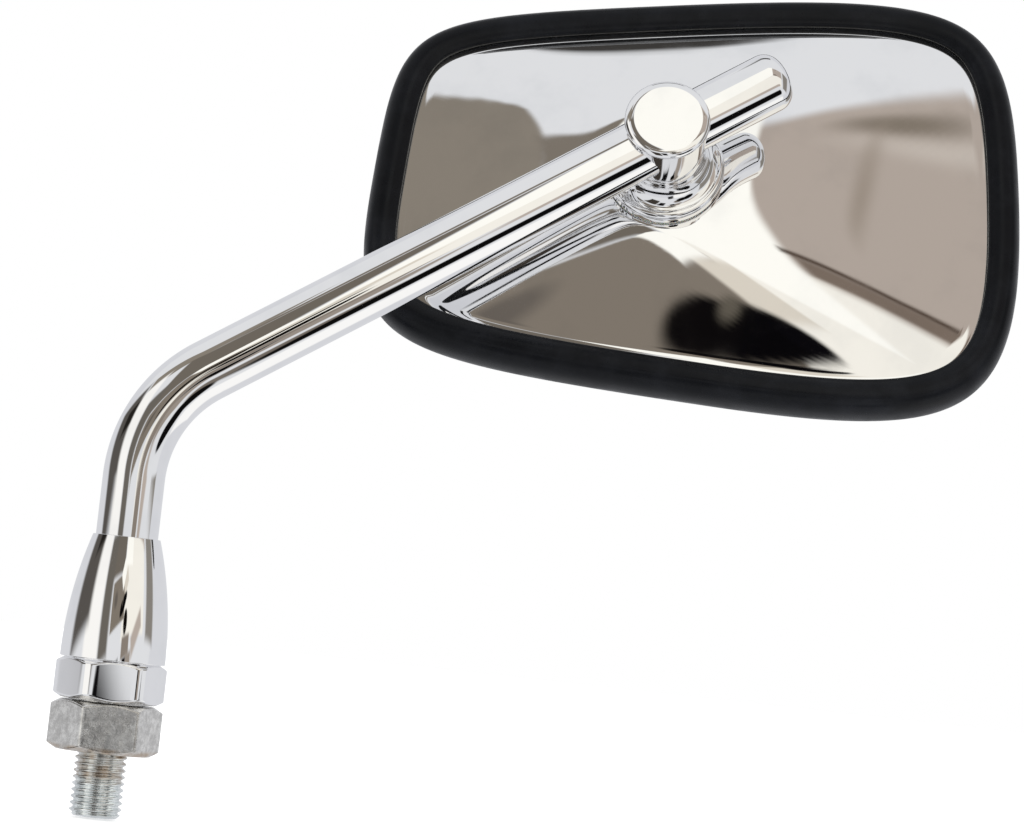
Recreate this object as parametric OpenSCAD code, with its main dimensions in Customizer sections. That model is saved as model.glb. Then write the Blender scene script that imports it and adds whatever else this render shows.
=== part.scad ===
// Motorcycle mirror: a bent bar held in a clamp ferrule, and a pressed head that swivels on a post.
// Origin: on the stud's axis at the seat under the adapter's hexagon. +Z runs up the stud.
// The bar bends towards +X, and the back of the head faces about -Y.

/* [Stud and adapter] */
// Outer diameter of the stud's thread
stud_d = 10; // [8:0.5:12]
// Length of the stud below its seat
stud_len = 12.4; // [8:0.1:20]
// Chamfer at the stud's end
stud_chamfer = 0.8; // [0.4:0.1:1.2]
// Width across the flats of the adapter's hexagon
adapter_af = 19; // [17:0.5:22]
// Height of the adapter's hexagon
adapter_hex_h = 9.6; // [6:0.2:12]
// Outer diameter of the adapter's upper thread, which the ferrule screws on
spigot_d = 14; // [13.8:0.1:14.6]
// Length of the upper thread
spigot_len = 7.6; // [5:0.2:9]

/* [Ferrule] */
// Width across the flats of the ferrule's hexagon
ferrule_af = 19.4; // [18:0.2:22]
// Height of the ferrule's hexagon
ferrule_hex_h = 7.8; // [6:0.2:10]
// Diameter of the turned edge round the ferrule's hexagon
ferrule_turned_d = 21.4; // [20.8:0.1:24]
// Length of the taper above the hexagon
ferrule_taper_len = 24; // [18:0.5:30]
// Diameter of the taper where it meets the hexagon
ferrule_d = 20.3; // [19:0.1:21]
// Diameter of the rim that the bar comes out of
ferrule_rim_d = 13; // [12.8:0.1:14]
// Thickness of the thrust washer under the bar
thrust_washer_t = 0.8; // [0.5:0.1:1.5]

/* [Bar] */
// Diameter of the bar
bar_d = 12; // [10:0.1:12.2]
// Diameter of the upset foot that the ferrule holds
foot_d = 13.8; // [13.2:0.1:13.9]
// Height of the upset foot
foot_h = 4; // [3:0.2:6]
// Straight length from the ferrule's rim to the bend
bar_rise = 11.4; // [4:0.2:30]
// Radius of the bend at the bar's axis
bend_r = 27; // [20:0.5:40]
// Angle of the bend
bend_angle = 56; // [40:1:75]
// Straight length from the bend to the post
bar_reach = 103; // [98:1:140]
// Length of bar beyond the post
bar_tail = 27.2; // [20:0.2:40]
// Edge radius of the bar's free end
bar_end_r = 3.6; // [1:0.2:5]

/* [Post] */
// Outer diameter of the cap
cap_d = 17; // [16.8:0.1:20]
// Thickness of the cap's top
cap_t = 0.7; // [0.6:0.1:1.2]
// Edge radius of the cap
cap_edge_r = 1.2; // [0.4:0.1:1.2]
// Depth of the cap's skirt below its inner face
cap_skirt = 1; // [0.8:0.1:1.2]
// Diameter of the post under the cap
post_top_d = 16.4; // [16.2:0.1:17]
// Diameter of the post above its foot
post_waist_d = 15.6; // [15.4:0.1:16.4]
// Diameter of the post's foot
post_foot_d = 19.4; // [18:0.2:22]
// Fillet between the post and its foot
post_fillet = 2; // [1:0.1:2.4]
// Thickness of the foot
post_foot_t = 0.8; // [0.6:0.1:2]
// Height of the bar's axis above the foot
post_rise = 11.5; // [11:0.1:16]
// Wall of the clamp eye round the bush
eye_wall = 0.6; // [0.4:0.05:0.7]
// Width of the clamp eye along the bar
eye_w = 9; // [6:0.5:10]
// Depth of the clamp eye's solid base below the bush
eye_base = 1.3; // [1:0.1:2]
// Wall of the bush between the eye and the bar
bush_wall = 0.4; // [0.3:0.05:0.45]
// Length of the bush
bush_len = 5.6; // [4:0.1:5.8]
// Width of the slit in the bush
bush_slit = 1; // [0.6:0.1:2]
// Diameter of the clamp eye's threaded shank
shank_d = 8; // [6:0.5:8]
// Outer diameter of the seat ring
ring_d = 24.2; // [22:0.2:28]
// Thickness of the seat ring
ring_t = 2.4; // [1.6:0.1:3.2]
// Edge radius of the seat ring
ring_edge_r = 1.6; // [0.4:0.1:1.6]
// Outer diameter of the washer under the seat ring
slip_washer_d = 22.8; // [18:0.2:23.2]
// Thickness of the washer under the seat ring
slip_washer_t = 0.5; // [0.4:0.1:1]

/* [Pressure stack] */
// Thickness of the plate inside the shell's boss
plate_t = 1.5; // [1:0.1:2]
// Diameter of the plate inside the shell's boss
plate_d = 24; // [20:0.5:24.5]
// Diameter of the washers in the stack
stack_d = 19; // [16:0.5:22]
// Thickness of the inner slip washer
inner_washer_t = 0.6; // [0.4:0.1:1]
// Thickness of each disc spring
disc_t = 0.5; // [0.3:0.05:0.6]
// Free cone height of each disc spring
disc_cone = 0.3; // [0.1:0.05:0.4]
// Number of disc springs
disc_count = 2; // [2:1:2]
// Thickness of the plain washer
plain_washer_t = 1.2; // [0.8:0.1:1.6]
// Width across the flats of the lock nut
nut_af = 13; // [12:0.5:14]
// Height of the lock nut
nut_h = 4.8; // [4:0.1:5]
// Height of the nylon ring in the lock nut
nut_ring_h = 1.4; // [1:0.1:2]
// Wall of the nylon ring
nut_ring_wall = 1.2; // [0.8:0.1:1.6]

/* [Head outline] */
// Sideways place where the top edge runs level, from the post
top_x = 5; // [0:0.5:15]
// Height of the top edge above the post
top_y = 43; // [38:0.1:50]
// Distance of the inner edge from the post
inner_x = 59; // [54:0.1:66]
// Height at which that distance is measured
inner_y = 8; // [0:0.5:15]
// Lean of the inner edge
inner_lean = 11; // [0:0.2:16]
// Sideways place at which the bottom edge is measured
bottom_x = 5; // [0:0.5:15]
// Distance of the bottom edge below the post
bottom_y = 46.1; // [40:0.1:52]
// Slope of the bottom edge
bottom_slope = 12; // [0:0.5:16]
// Distance of the outer edge from the post
outer_x = 73; // [66:0.1:80]
// Lean of the outer edge
outer_lean = 3; // [0:0.2:8]
// Fullness of the upper inner corner
full_top_inner = 0.985; // [0.7:0.005:1]
// Fullness of the lower inner corner
full_low_inner = 0.955; // [0.7:0.005:0.96]
// Fullness of the lower outer corner
full_low_outer = 0.865; // [0.7:0.005:0.95]
// Fullness of the upper outer corner
full_top_outer = 0.89; // [0.7:0.005:0.95]

/* [Head] */
// Turn of the head about the bar, away from the bend's plane
head_roll = 24; // [0:1:40]
// Slant of the bar against the head's long side
head_slant = 27; // [10:1:40]
// Height of the shell's boss above the middle plane of the rim
boss_h = 11.7; // [11.2:0.1:14]
// Diameter of the flat boss
boss_d = 25.4; // [25:0.2:32]
// Height of the shell's flange above the middle plane of the rim
flange_h = 3.1; // [2.6:0.1:3.6]
// Rise of the narrow border band above the flange
band_h = 0.9; // [0.4:0.1:1.6]
// Width of the narrow border band
band_w = 3; // [2:0.2:5]
// Crown of the lower panel, where 1 is flat
crown_low = 1.06; // [1:0.02:1.4]
// Crown of the upper panel, where 1 is flat
crown_high = 1.36; // [1:0.02:1.6]
// Share of the boss that each panel takes, against its corners
panel_spread = 0.35; // [0.1:0.05:0.6]
// Wall of the shell
shell_t = 0.8; // [0.6:0.1:1]
// Height of the shell's skirt
skirt_h = 3.6; // [3:0.1:3.8]
// Thickness of the glass
glass_t = 2.2; // [2:0.1:2.4]
// Thickness of the pad behind the glass
pad_t = 1; // [0.6:0.1:1.2]

/* [Rubber rim] */
// Width of the rim seen from the back
rim_w = 8; // [7:0.1:9]
// Thickness of the rim's outer wall
rim_wall = 3.6; // [3:0.1:4]
// Height of the rim's back above its middle plane
rim_back_h = 5.2; // [4.6:0.1:6]
// Depth of the rim's front below its middle plane
rim_front_h = 5.8; // [5.4:0.1:7]
// Width of the rim seen from the front
rim_front_w = 7.2; // [6:0.1:8]
// Distance of the highest line of the rim's back from its edge
rim_crest_in = 3.6; // [3:0.1:4.4]
// Distance of the lowest line of the rim's front from its edge
rim_front_crest_in = 4; // [3:0.1:4.6]
// Fullness of the rim's round, where 2 is an ellipse
rim_fullness = 2.3; // [2:0.1:3]
// Thickness of the lips at their edges
lip_t = 0.5; // [0.4:0.1:0.8]
// Thickness of the lip over the glass
front_lip_t = 1.3; // [1:0.1:1.6]
// Edge radius of the lips
lip_round = 0.8; // [0.4:0.1:1]

/* [Fits] */
// Running clearance on the radius of what turns or slides
run_gap = 0.05; // [0.02:0.01:0.08]
// Clearance between flat faces that slip
face_gap = 0.05; // [0.02:0.01:0.1]
// Clearance on the radius of what is only pushed together
slip_gap = 0.1; // [0.05:0.01:0.2]

/* [Hidden] */
$fn = 96;

bar_r = bar_d / 2;
shank_r = shank_d / 2;
far = 400;
eps = 0.01;
// How far one solid is sunk into the next where the two are one piece
sink = 1;
// Steps round a circle that is far larger than the part
arc_steps = 720;

// Heights along the stud
adapter_top = adapter_hex_h;
hex_gap = 0.3;
ferrule_z = adapter_top + hex_gap;
ferrule_shoulder = ferrule_z + ferrule_hex_h;
ferrule_top = ferrule_shoulder + ferrule_taper_len;
spigot_top = adapter_top + spigot_len;
foot_z = spigot_top + thrust_washer_t + 2 * face_gap;
foot_cone = (foot_d - bar_d) / 2;
bend_z = ferrule_top + bar_rise;
hex_chamfer = 0.9;
bore_inner_r = spigot_d / 2 + run_gap;

// Place of the post on the bar
post_x = bend_r * (1 - cos(bend_angle)) + bar_reach * sin(bend_angle);
post_z = bend_z + bend_r * sin(bend_angle) + bar_reach * cos(bend_angle);

// Radii round the bar, from the bush outwards
bush_in_r = bar_r + run_gap;
bush_out_r = bush_in_r + bush_wall;
eye_in_r = bush_out_r + run_gap;
eye_out_r = eye_in_r + eye_wall;
post_hole_r = bar_r + slip_gap;

// Heights on the post, from the bar's axis
post_cavity_r = eye_out_r + slip_gap;
post_top_h = eye_out_r + face_gap;
cap_inner_h = post_top_h + face_gap;
cap_seat_h = cap_inner_h - cap_skirt;
cap_wall = 0.65;
cap_top_h = cap_inner_h + cap_t;
eye_bottom_h = -(eye_out_r + eye_base);
cavity_bottom_h = eye_bottom_h - face_gap;
foot_bottom_h = -(post_rise + post_foot_t);
ring_top_h = foot_bottom_h - face_gap;
ring_bottom_h = ring_top_h - ring_t;
slip_top_h = ring_bottom_h - face_gap;
slip_bottom_h = slip_top_h - slip_washer_t;
bar_over_boss = -slip_bottom_h + face_gap;

// Heights in the head, from the middle plane of the rim
bar_h = boss_h + bar_over_boss;
plate_top = boss_h - shell_t - eps;
plate_bottom = plate_top - plate_t;
inner_top = plate_bottom - face_gap;
inner_bottom = inner_top - inner_washer_t;
disc_h = disc_t + disc_cone;
disc_top = inner_bottom - face_gap;
disc_bottom = disc_top - disc_count * (disc_h + face_gap) + face_gap;
plain_top = disc_bottom - face_gap;
plain_bottom = plain_top - plain_washer_t;
nut_top = plain_bottom - face_gap;
nut_bottom = nut_top - nut_h;
shank_end_h = nut_bottom - 0.3;
shell_hole_r = shank_r + 0.6;
glass_bottom = slip_gap + front_lip_t - rim_front_h;
glass_top = glass_bottom + glass_t;
pad_top = glass_top + pad_t;
glass_inset = rim_wall + slip_gap;
skirt_inset = rim_wall + slip_gap;
flange_fillet = 1.1;
lip_low = flange_h + slip_gap;
lip_sag = 0.25;
front_lip_top = glass_bottom - slip_gap;

chrome = [0.80, 0.80, 0.82];
zinc = [0.62, 0.62, 0.60];
steel = [0.52, 0.53, 0.55];
nylon = [0.90, 0.89, 0.84];
rubber = [0.06, 0.06, 0.07];
silver_glass = [0.70, 0.76, 0.80];
felt = [0.30, 0.28, 0.26];

// A frame on the post: X along the bar towards its free end, Z out of the back of the head
module at_post() {
  translate([post_x, 0, post_z])
    rotate([90 - head_roll, bend_angle - 90, 0])
      children();
}

// A frame on the head: X along its long side, Y up its short side, Z out of its back
module at_head() {
  at_post()
    rotate([0, 0, -head_slant])
      translate([0, 0, -bar_h])
        children();
}

// A flat ring between two heights
module ring(outer_r, inner_r, low, high) {
  translate([0, 0, low])
    difference() {
      cylinder(r = outer_r, h = high - low);
      translate([0, 0, -1])
        cylinder(r = inner_r, h = high - low + 2);
    }
}

// A hexagon that is turned down to a round edge at both ends
module hexagon(af, turned_d, h) {
  drop = (turned_d - af) / 2 + hex_chamfer / 2;
  intersection() {
    cylinder(d = af / cos(30), h = h, $fn = 6);
    rotate_extrude()
      polygon([
        [0, 0],
        [turned_d / 2 - drop, 0],
        [turned_d / 2, drop * tan(30)],
        [turned_d / 2, h - drop * tan(30)],
        [turned_d / 2 - drop, h],
        [0, h]
      ]);
  }
}

module adapter_bolt() {
  stud_r = stud_d / 2;
  spigot_r = spigot_d / 2;
  color(zinc)
    union() {
      hexagon(adapter_af, adapter_af / cos(30) - 0.2, adapter_hex_h);
      rotate_extrude()
        polygon([
          [0, -stud_len],
          [stud_r - stud_chamfer, -stud_len],
          [stud_r, -stud_len + stud_chamfer],
          [stud_r, sink],
          [0, sink]
        ]);
      translate([0, 0, adapter_top - sink])
        cylinder(r = spigot_r - hex_gap, h = sink + hex_gap);
      translate([0, 0, adapter_top + hex_gap])
        cylinder(r = spigot_r, h = spigot_len - hex_gap);
    }
}

// Half section of the ferrule's taper: one long arc that starts upright at the hexagon
module taper_profile() {
  drop = (ferrule_d - ferrule_rim_d) / 2;
  arc_r = (pow(ferrule_taper_len, 2) + pow(drop, 2)) / (2 * drop);
  intersection() {
    square([ferrule_d, ferrule_taper_len]);
    translate([ferrule_d / 2 - arc_r, 0])
      circle(r = arc_r, $fn = arc_steps);
  }
  translate([0, -sink])
    square([ferrule_af / 2 - sink, sink + eps]);
}

module clamp_ferrule() {
  seat_z = foot_z + foot_h + slip_gap;
  seat_h = bore_inner_r - post_hole_r;
  color(chrome)
    difference() {
      union() {
        translate([0, 0, ferrule_z])
          hexagon(ferrule_af, ferrule_turned_d, ferrule_hex_h);
        translate([0, 0, ferrule_shoulder])
          rotate_extrude()
            taper_profile();
      }
      translate([0, 0, ferrule_z - 1])
        cylinder(r = bore_inner_r, h = seat_z - ferrule_z + 1);
      translate([0, 0, seat_z - eps])
        cylinder(r1 = bore_inner_r, r2 = post_hole_r, h = seat_h + eps);
      translate([0, 0, seat_z])
        cylinder(r = post_hole_r, h = far);
    }
}

module thrust_washer() {
  color(nylon)
    translate([0, 0, spigot_top + face_gap])
      cylinder(r = foot_d / 2 - slip_gap, h = thrust_washer_t);
}

// Half section of the bar's rounded free end
module bar_end_profile() {
  square([bar_r - bar_end_r, bar_end_r]);
  intersection() {
    square([bar_r, bar_end_r]);
    translate([bar_r - bar_end_r, 0])
      circle(r = bar_end_r);
  }
}

// The bend runs a little into both straight lengths and is a hair thinner, so no faces coincide
module stem() {
  bend_sink = 0.5;
  color(chrome)
    union() {
      translate([0, 0, foot_z])
        cylinder(d = foot_d, h = foot_h);
      translate([0, 0, foot_z + foot_h])
        cylinder(d1 = foot_d, d2 = bar_d, h = foot_cone);
      translate([0, 0, foot_z])
        cylinder(r = bar_r, h = bend_z - foot_z);
      translate([bend_r, 0, bend_z])
        rotate([90, 0, 0])
          rotate([0, 0, 180 - bend_angle - bend_sink])
            rotate_extrude(angle = bend_angle + 2 * bend_sink)
              translate([bend_r, 0])
                circle(r = bar_r - eps);
      translate([bend_r * (1 - cos(bend_angle)), 0, bend_z + bend_r * sin(bend_angle)])
        rotate([0, bend_angle, 0]) {
          cylinder(r = bar_r, h = bar_reach + bar_tail - bar_end_r);
          translate([0, 0, bar_reach + bar_tail - bar_end_r])
            rotate_extrude()
              bar_end_profile();
        }
    }
}

module stem_bush() {
  color(nylon)
    at_post()
      rotate([0, 90, 0])
        difference() {
          ring(bush_out_r, bush_in_r, -bush_len / 2, bush_len / 2);
          translate([bar_r, 0, 0])
            cube([bar_r, bush_slit, bush_len + 2], center = true);
        }
}

// Half section of the post's outside, with a concave fillet over its foot
module post_profile() {
  top_r = post_top_d / 2;
  waist_r = post_waist_d / 2;
  foot_r = post_foot_d / 2;
  fillet_top = -post_rise + post_fillet;
  difference() {
    polygon([
      [0, foot_bottom_h],
      [foot_r, foot_bottom_h],
      [foot_r, -post_rise],
      [waist_r + post_fillet, -post_rise],
      [waist_r + post_fillet, fillet_top],
      [waist_r, fillet_top],
      [top_r, cap_seat_h],
      [cap_d / 2 - cap_wall - slip_gap / 2, cap_seat_h],
      [cap_d / 2 - cap_wall - slip_gap / 2, post_top_h],
      [0, post_top_h]
    ]);
    translate([waist_r + post_fillet, fillet_top])
      circle(r = post_fillet);
  }
}

module swivel_post() {
  color(chrome)
    at_post()
      difference() {
        rotate_extrude()
          post_profile();
        translate([0, 0, cavity_bottom_h])
          cylinder(r = post_cavity_r, h = far);
        translate([0, 0, -far / 2])
          cylinder(r = shank_r + slip_gap, h = far);
        rotate([0, 90, 0])
          cylinder(r = post_hole_r, h = far, center = true);
      }
}

module clamp_eye() {
  color(steel)
    at_post()
      union() {
        difference() {
          intersection() {
            translate([0, 0, eye_bottom_h])
              cylinder(r = eye_out_r, h = eye_out_r - eye_bottom_h);
            union() {
              rotate([0, 90, 0])
                cylinder(r = eye_out_r, h = eye_w, center = true);
              translate([-eye_w / 2, -eye_out_r, eye_bottom_h])
                cube([eye_w, 2 * eye_out_r, -eye_bottom_h]);
            }
          }
          rotate([0, 90, 0])
            cylinder(r = eye_in_r, h = far, center = true);
        }
        translate([0, 0, shank_end_h - bar_h])
          cylinder(r = shank_r, h = eye_bottom_h + eye_base / 2 - (shank_end_h - bar_h));
      }
}

// Half section of the cap, with a rounded upper edge
module cap_profile() {
  cap_r = cap_d / 2;
  difference() {
    union() {
      translate([0, cap_seat_h + face_gap])
        square([cap_r, cap_top_h - cap_edge_r - cap_seat_h - face_gap]);
      translate([0, cap_top_h - cap_edge_r - eps])
        square([cap_r - cap_edge_r, cap_edge_r + eps]);
      intersection() {
        translate([0, cap_top_h - cap_edge_r - eps])
          square([cap_r, cap_edge_r + eps]);
        translate([cap_r - cap_edge_r, cap_top_h - cap_edge_r])
          circle(r = cap_edge_r);
      }
    }
    translate([0, cap_seat_h - 1])
      square([cap_r - cap_wall, cap_skirt + 1]);
  }
}

module post_cap() {
  color(chrome)
    at_post()
      rotate_extrude()
        cap_profile();
}

// Half section of the seat ring, with its upper edge rounded
module seat_ring_profile() {
  ring_r = ring_d / 2;
  hole_r = shank_r + slip_gap;
  translate([hole_r, ring_bottom_h])
    square([ring_r - hole_r, ring_t - ring_edge_r]);
  translate([hole_r, ring_top_h - ring_edge_r - eps])
    square([ring_r - ring_edge_r - hole_r, ring_edge_r + eps]);
  intersection() {
    translate([0, ring_top_h - ring_edge_r - eps])
      square([ring_r, ring_edge_r + eps]);
    translate([ring_r - ring_edge_r, ring_top_h - ring_edge_r])
      circle(r = ring_edge_r);
  }
}

module seat_ring() {
  color(chrome)
    at_post()
      rotate_extrude()
        seat_ring_profile();
}

module slip_washer() {
  color(nylon)
    at_post()
      ring(slip_washer_d / 2, shank_r + slip_gap, slip_bottom_h, slip_top_h);
}

module backing_plate() {
  color(steel)
    at_head()
      ring(plate_d / 2, shank_r + run_gap, plate_bottom, plate_top);
}

module inner_washer() {
  color(nylon)
    at_head()
      ring(stack_d / 2, shank_r + slip_gap, inner_bottom, inner_top);
}

// Half section of one disc spring that is higher at its bore
module disc_profile() {
  polygon([
    [shank_r + slip_gap, disc_cone],
    [stack_d / 2, 0],
    [stack_d / 2, disc_t],
    [shank_r + slip_gap, disc_h]
  ]);
}

module disc_springs() {
  pitch = disc_h + face_gap;
  color(steel)
    at_head()
      for (i = [0 : disc_count - 1])
        translate([0, 0, disc_bottom + i * pitch + (i % 2) * disc_h])
          rotate([(i % 2) * 180, 0, 0])
            rotate_extrude()
              disc_profile();
}

module plain_washer() {
  color(steel)
    at_head()
      ring(stack_d / 2 - 1, shank_r + slip_gap, plain_bottom, plain_top);
}

module lock_nut() {
  color(steel)
    at_head()
      translate([0, 0, nut_bottom])
        difference() {
          hexagon(nut_af, nut_af / cos(30) - 0.2, nut_h);
          translate([0, 0, -1])
            cylinder(r = shank_r + run_gap, h = nut_h + 2);
          translate([0, 0, -1])
            cylinder(r = shank_r + nut_ring_wall + 2 * slip_gap, h = nut_ring_h + 1);
        }
}

module nut_ring() {
  low = nut_bottom + face_gap;
  color(nylon)
    at_head()
      ring(shank_r + nut_ring_wall + slip_gap, shank_r + run_gap, low, low + nut_ring_h - 2 * face_gap);
}

// Outline of the head: four sides given by a point and a direction, joined by full corners
side_steps = 18;
side_points = [[top_x, top_y], [-inner_x, inner_y], [bottom_x, -bottom_y], [outer_x, 0]];
side_angles = [180, 270 - inner_lean, -bottom_slope, 90 - outer_lean];
corner_fullness = [full_top_inner, full_low_inner, full_low_outer, full_top_outer];
stations = 4 * side_steps;

function heading(a) = [cos(a), sin(a)];
function crossing(p, a, q, b) = p + heading(a) * cross(q - p, heading(b)) / cross(heading(a), heading(b));
function corner(i) = crossing(
  side_points[i], side_angles[i], side_points[(i + 1) % 4], side_angles[(i + 1) % 4]);
function handle(i, from) = from + corner_fullness[i] * (corner(i) - from);
function curve_controls(i) = [
  side_points[i], handle(i, side_points[i]), handle(i, side_points[(i + 1) % 4]), side_points[(i + 1) % 4]
];
function bezier(c, t) =
  pow(1 - t, 3) * c[0] + 3 * pow(1 - t, 2) * t * c[1] + 3 * (1 - t) * t * t * c[2] + pow(t, 3) * c[3];
function bezier_slope(c, t) =
  pow(1 - t, 2) * (c[1] - c[0]) + 2 * (1 - t) * t * (c[2] - c[1]) + t * t * (c[3] - c[2]);
function unit(v) = v / norm(v);
function edge_point(k) = bezier(curve_controls(floor(k / side_steps)), (k % side_steps) / side_steps);
function edge_outward(k) =
  let (s = unit(bezier_slope(curve_controls(floor(k / side_steps)), (k % side_steps) / side_steps)))
  [s[1], -s[0]];

edge_points = [for (k = [0 : stations - 1]) edge_point(k)];
edge_normals = [for (k = [0 : stations - 1]) edge_outward(k)];

// The outline, moved inwards by an inset
function inset_outline(inset) = [for (k = [0 : stations - 1]) edge_points[k] - inset * edge_normals[k]];
function at_height(loop, z) = [for (p = loop) [p[0], p[1], z]];
function inset_loop(inset, z) = at_height(inset_outline(inset), z);
function circle_loop(r, z) = [for (k = [0 : stations - 1]) let (d = boss_direction(k)) [r * d[0], r * d[1], z]];

// Direction on the boss that a place on the outline runs up to
function boss_direction(k) =
  unit((1 - panel_spread) * edge_normals[k] + panel_spread * unit(edge_points[k]));
// Crown of the panel above or below, blended round the sides
function crown(k) =
  let (up = (1 + boss_direction(k)[1]) / 2)
  crown_low + (crown_high - crown_low) * up * up * (3 - 2 * up);
// A loop on the panels: share 0 at the boss, 1 at the border band
function panel_loop(share, drop) =
  let (rim = inset_outline(rim_w + band_w), low = flange_h + band_h)
  [for (k = [0 : stations - 1])
    let (
      start = boss_d / 2 * boss_direction(k),
      p = start + share * (rim[k] - start),
      z = low + (boss_h - low) * (1 - pow(share, crown(k)))
    )
    [p[0], p[1], z - drop]];

// A closed skin through loops of equal length, the last loop joined to the first
module loop_skin(loops) {
  rows = len(loops);
  n = len(loops[0]);
  polyhedron(
    points = [for (loop = loops) each loop],
    faces = [
      for (j = [0 : rows - 1], k = [0 : n - 1])
        let (
          a = j * n + k,
          b = j * n + (k + 1) % n,
          c = ((j + 1) % rows) * n + (k + 1) % n,
          d = ((j + 1) % rows) * n + k
        )
        each [[a, b, c], [a, c, d]]
    ],
    convexity = 6
  );
}

panel_shares = [0.14, 0.3, 0.5, 0.7, 0.86, 1];

module shell() {
  skirt_low = flange_h - skirt_h;
  outside = concat(
    [circle_loop(shell_hole_r, boss_h), circle_loop(boss_d / 2, boss_h)],
    [for (s = panel_shares) panel_loop(s, 0)],
    [
      inset_loop(rim_w + 0.6, flange_h + 0.1),
      inset_loop(skirt_inset + flange_fillet, flange_h),
      inset_loop(skirt_inset + flange_fillet * 0.3, flange_h - flange_fillet * 0.3),
      inset_loop(skirt_inset, flange_h - flange_fillet),
      inset_loop(skirt_inset, skirt_low)
    ]
  );
  inside = concat(
    [
      inset_loop(skirt_inset + shell_t, skirt_low),
      inset_loop(skirt_inset + shell_t, flange_h - flange_fillet - shell_t / 3),
      inset_loop(skirt_inset + flange_fillet + shell_t / 3, flange_h - shell_t),
      inset_loop(rim_w + 0.6 + shell_t / 3, flange_h + 0.1 - shell_t)
    ],
    [for (i = [len(panel_shares) - 1 : -1 : 0]) panel_loop(panel_shares[i], shell_t)],
    [circle_loop(boss_d / 2, boss_h - shell_t), circle_loop(shell_hole_r, boss_h - shell_t)]
  );
  color(chrome)
    at_head()
      loop_skin(concat(outside, inside));
}

module mirror_glass() {
  color(silver_glass)
    at_head()
      translate([0, 0, glass_bottom])
        linear_extrude(glass_t)
          polygon(inset_outline(glass_inset));
}

module glass_pad() {
  color(felt)
    at_head()
      translate([0, 0, glass_top])
        linear_extrude(pad_t)
          polygon(inset_outline(glass_inset));
}

// One quarter of the rim's round, from its crest to its widest line or back
function rim_quarter(crest_in, h, turns) = [
  for (a = turns)
    [crest_in * (1 - pow(sin(a), 2 / rim_fullness)), h * pow(cos(a), 2 / rim_fullness)]
];

// Section of the rim as inset and height: round outside, a lip over the shell and one over the glass
quarter_turns = [0, 22, 45, 66, 82];
rim_section = concat(
  [
    [rim_w, lip_low + lip_t],
    [rim_w - lip_round, lip_low + lip_t + lip_round],
    [(rim_w - lip_round + rim_crest_in) / 2, rim_back_h - lip_sag]
  ],
  rim_quarter(rim_crest_in, rim_back_h, quarter_turns),
  rim_quarter(rim_front_crest_in, -rim_front_h, [90, 80, 64, 44, 22, 0]),
  [
    [rim_front_w - lip_round, -rim_front_h + lip_sag],
    [rim_front_w, -rim_front_h + lip_round],
    [rim_front_w, front_lip_top],
    [rim_wall, front_lip_top],
    [rim_wall, lip_low],
    [rim_w, lip_low]
  ]
);

module rubber_rim() {
  color(rubber)
    at_head()
      loop_skin([for (s = rim_section) inset_loop(s[0], s[1])]);
}

adapter_bolt();
clamp_ferrule();
thrust_washer();
stem();
stem_bush();
swivel_post();
clamp_eye();
post_cap();
seat_ring();
slip_washer();
backing_plate();
inner_washer();
disc_springs();
plain_washer();
lock_nut();
nut_ring();
shell();
mirror_glass();
glass_pad();
rubber_rim();
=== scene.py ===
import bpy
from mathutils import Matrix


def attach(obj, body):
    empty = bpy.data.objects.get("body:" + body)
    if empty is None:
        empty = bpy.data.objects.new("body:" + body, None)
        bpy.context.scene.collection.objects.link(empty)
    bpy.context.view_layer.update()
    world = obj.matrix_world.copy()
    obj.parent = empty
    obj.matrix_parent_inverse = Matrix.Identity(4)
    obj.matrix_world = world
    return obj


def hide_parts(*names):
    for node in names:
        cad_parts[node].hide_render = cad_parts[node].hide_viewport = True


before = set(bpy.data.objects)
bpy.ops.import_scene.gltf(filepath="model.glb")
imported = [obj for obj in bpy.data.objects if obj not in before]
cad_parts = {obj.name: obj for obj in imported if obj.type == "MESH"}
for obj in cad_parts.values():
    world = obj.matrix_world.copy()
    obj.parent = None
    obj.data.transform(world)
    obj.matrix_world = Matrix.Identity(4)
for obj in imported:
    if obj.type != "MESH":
        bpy.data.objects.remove(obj)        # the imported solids: bodies, nodes, joints and record

"""Looks of a motorcycle mirror: a bent chrome bar in a clamp ferrule, and a pressed head on a swivel post.

Lengths are in millimetres in each piece's own drawing, and become metres when a mesh is made.
"""
import logging
from collections.abc import Sequence
from dataclasses import dataclass, field
from enum import Enum
from math import cos, hypot, pi, radians, sin, sqrt, tan

import bmesh
import bpy
import numpy as np
from mathutils import Matrix, Vector

log = logging.getLogger("motorcycle_mirror")
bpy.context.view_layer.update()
MM = 0.001
TURN = 2 * pi
# The largest share of a side that a round may take
ROUND_SHARE = 0.46
# How far a guard point stands from its round, and the largest share of a side that it may take
GUARD_MM = 0.05
GUARD_SHARE = 0.06
# How near to a hole's radius a point on its wall is, in metres, and how level the wall's faces are
WALL_SLACK = 6e-6
LEVEL_SLACK = 0.02

Row = list[Vector]
FlatPoint = tuple[float, float]
Corner = tuple[float, float, float]
Colour = tuple[float, float, float]
Triple = tuple[float, float, float]
Socket = bpy.types.NodeSocket
Node = bpy.types.Node
Inputs = dict[int | str, object]
Material = bpy.types.Material
Piece = bpy.types.Object


class Body(Enum):
    """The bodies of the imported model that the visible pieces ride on."""

    BASE = "base"
    ARM = "arm"
    POST = "post"
    HEAD = "head"


class Slot(Enum):
    """The record's material slots, one named for each finish of the visible pieces."""

    CHROME = "chrome"
    ZINC = "zinc"
    NYLON = "nylon"
    RUBBER = "rubber"
    GLASS = "silvered_glass"


# The shared frames


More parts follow.
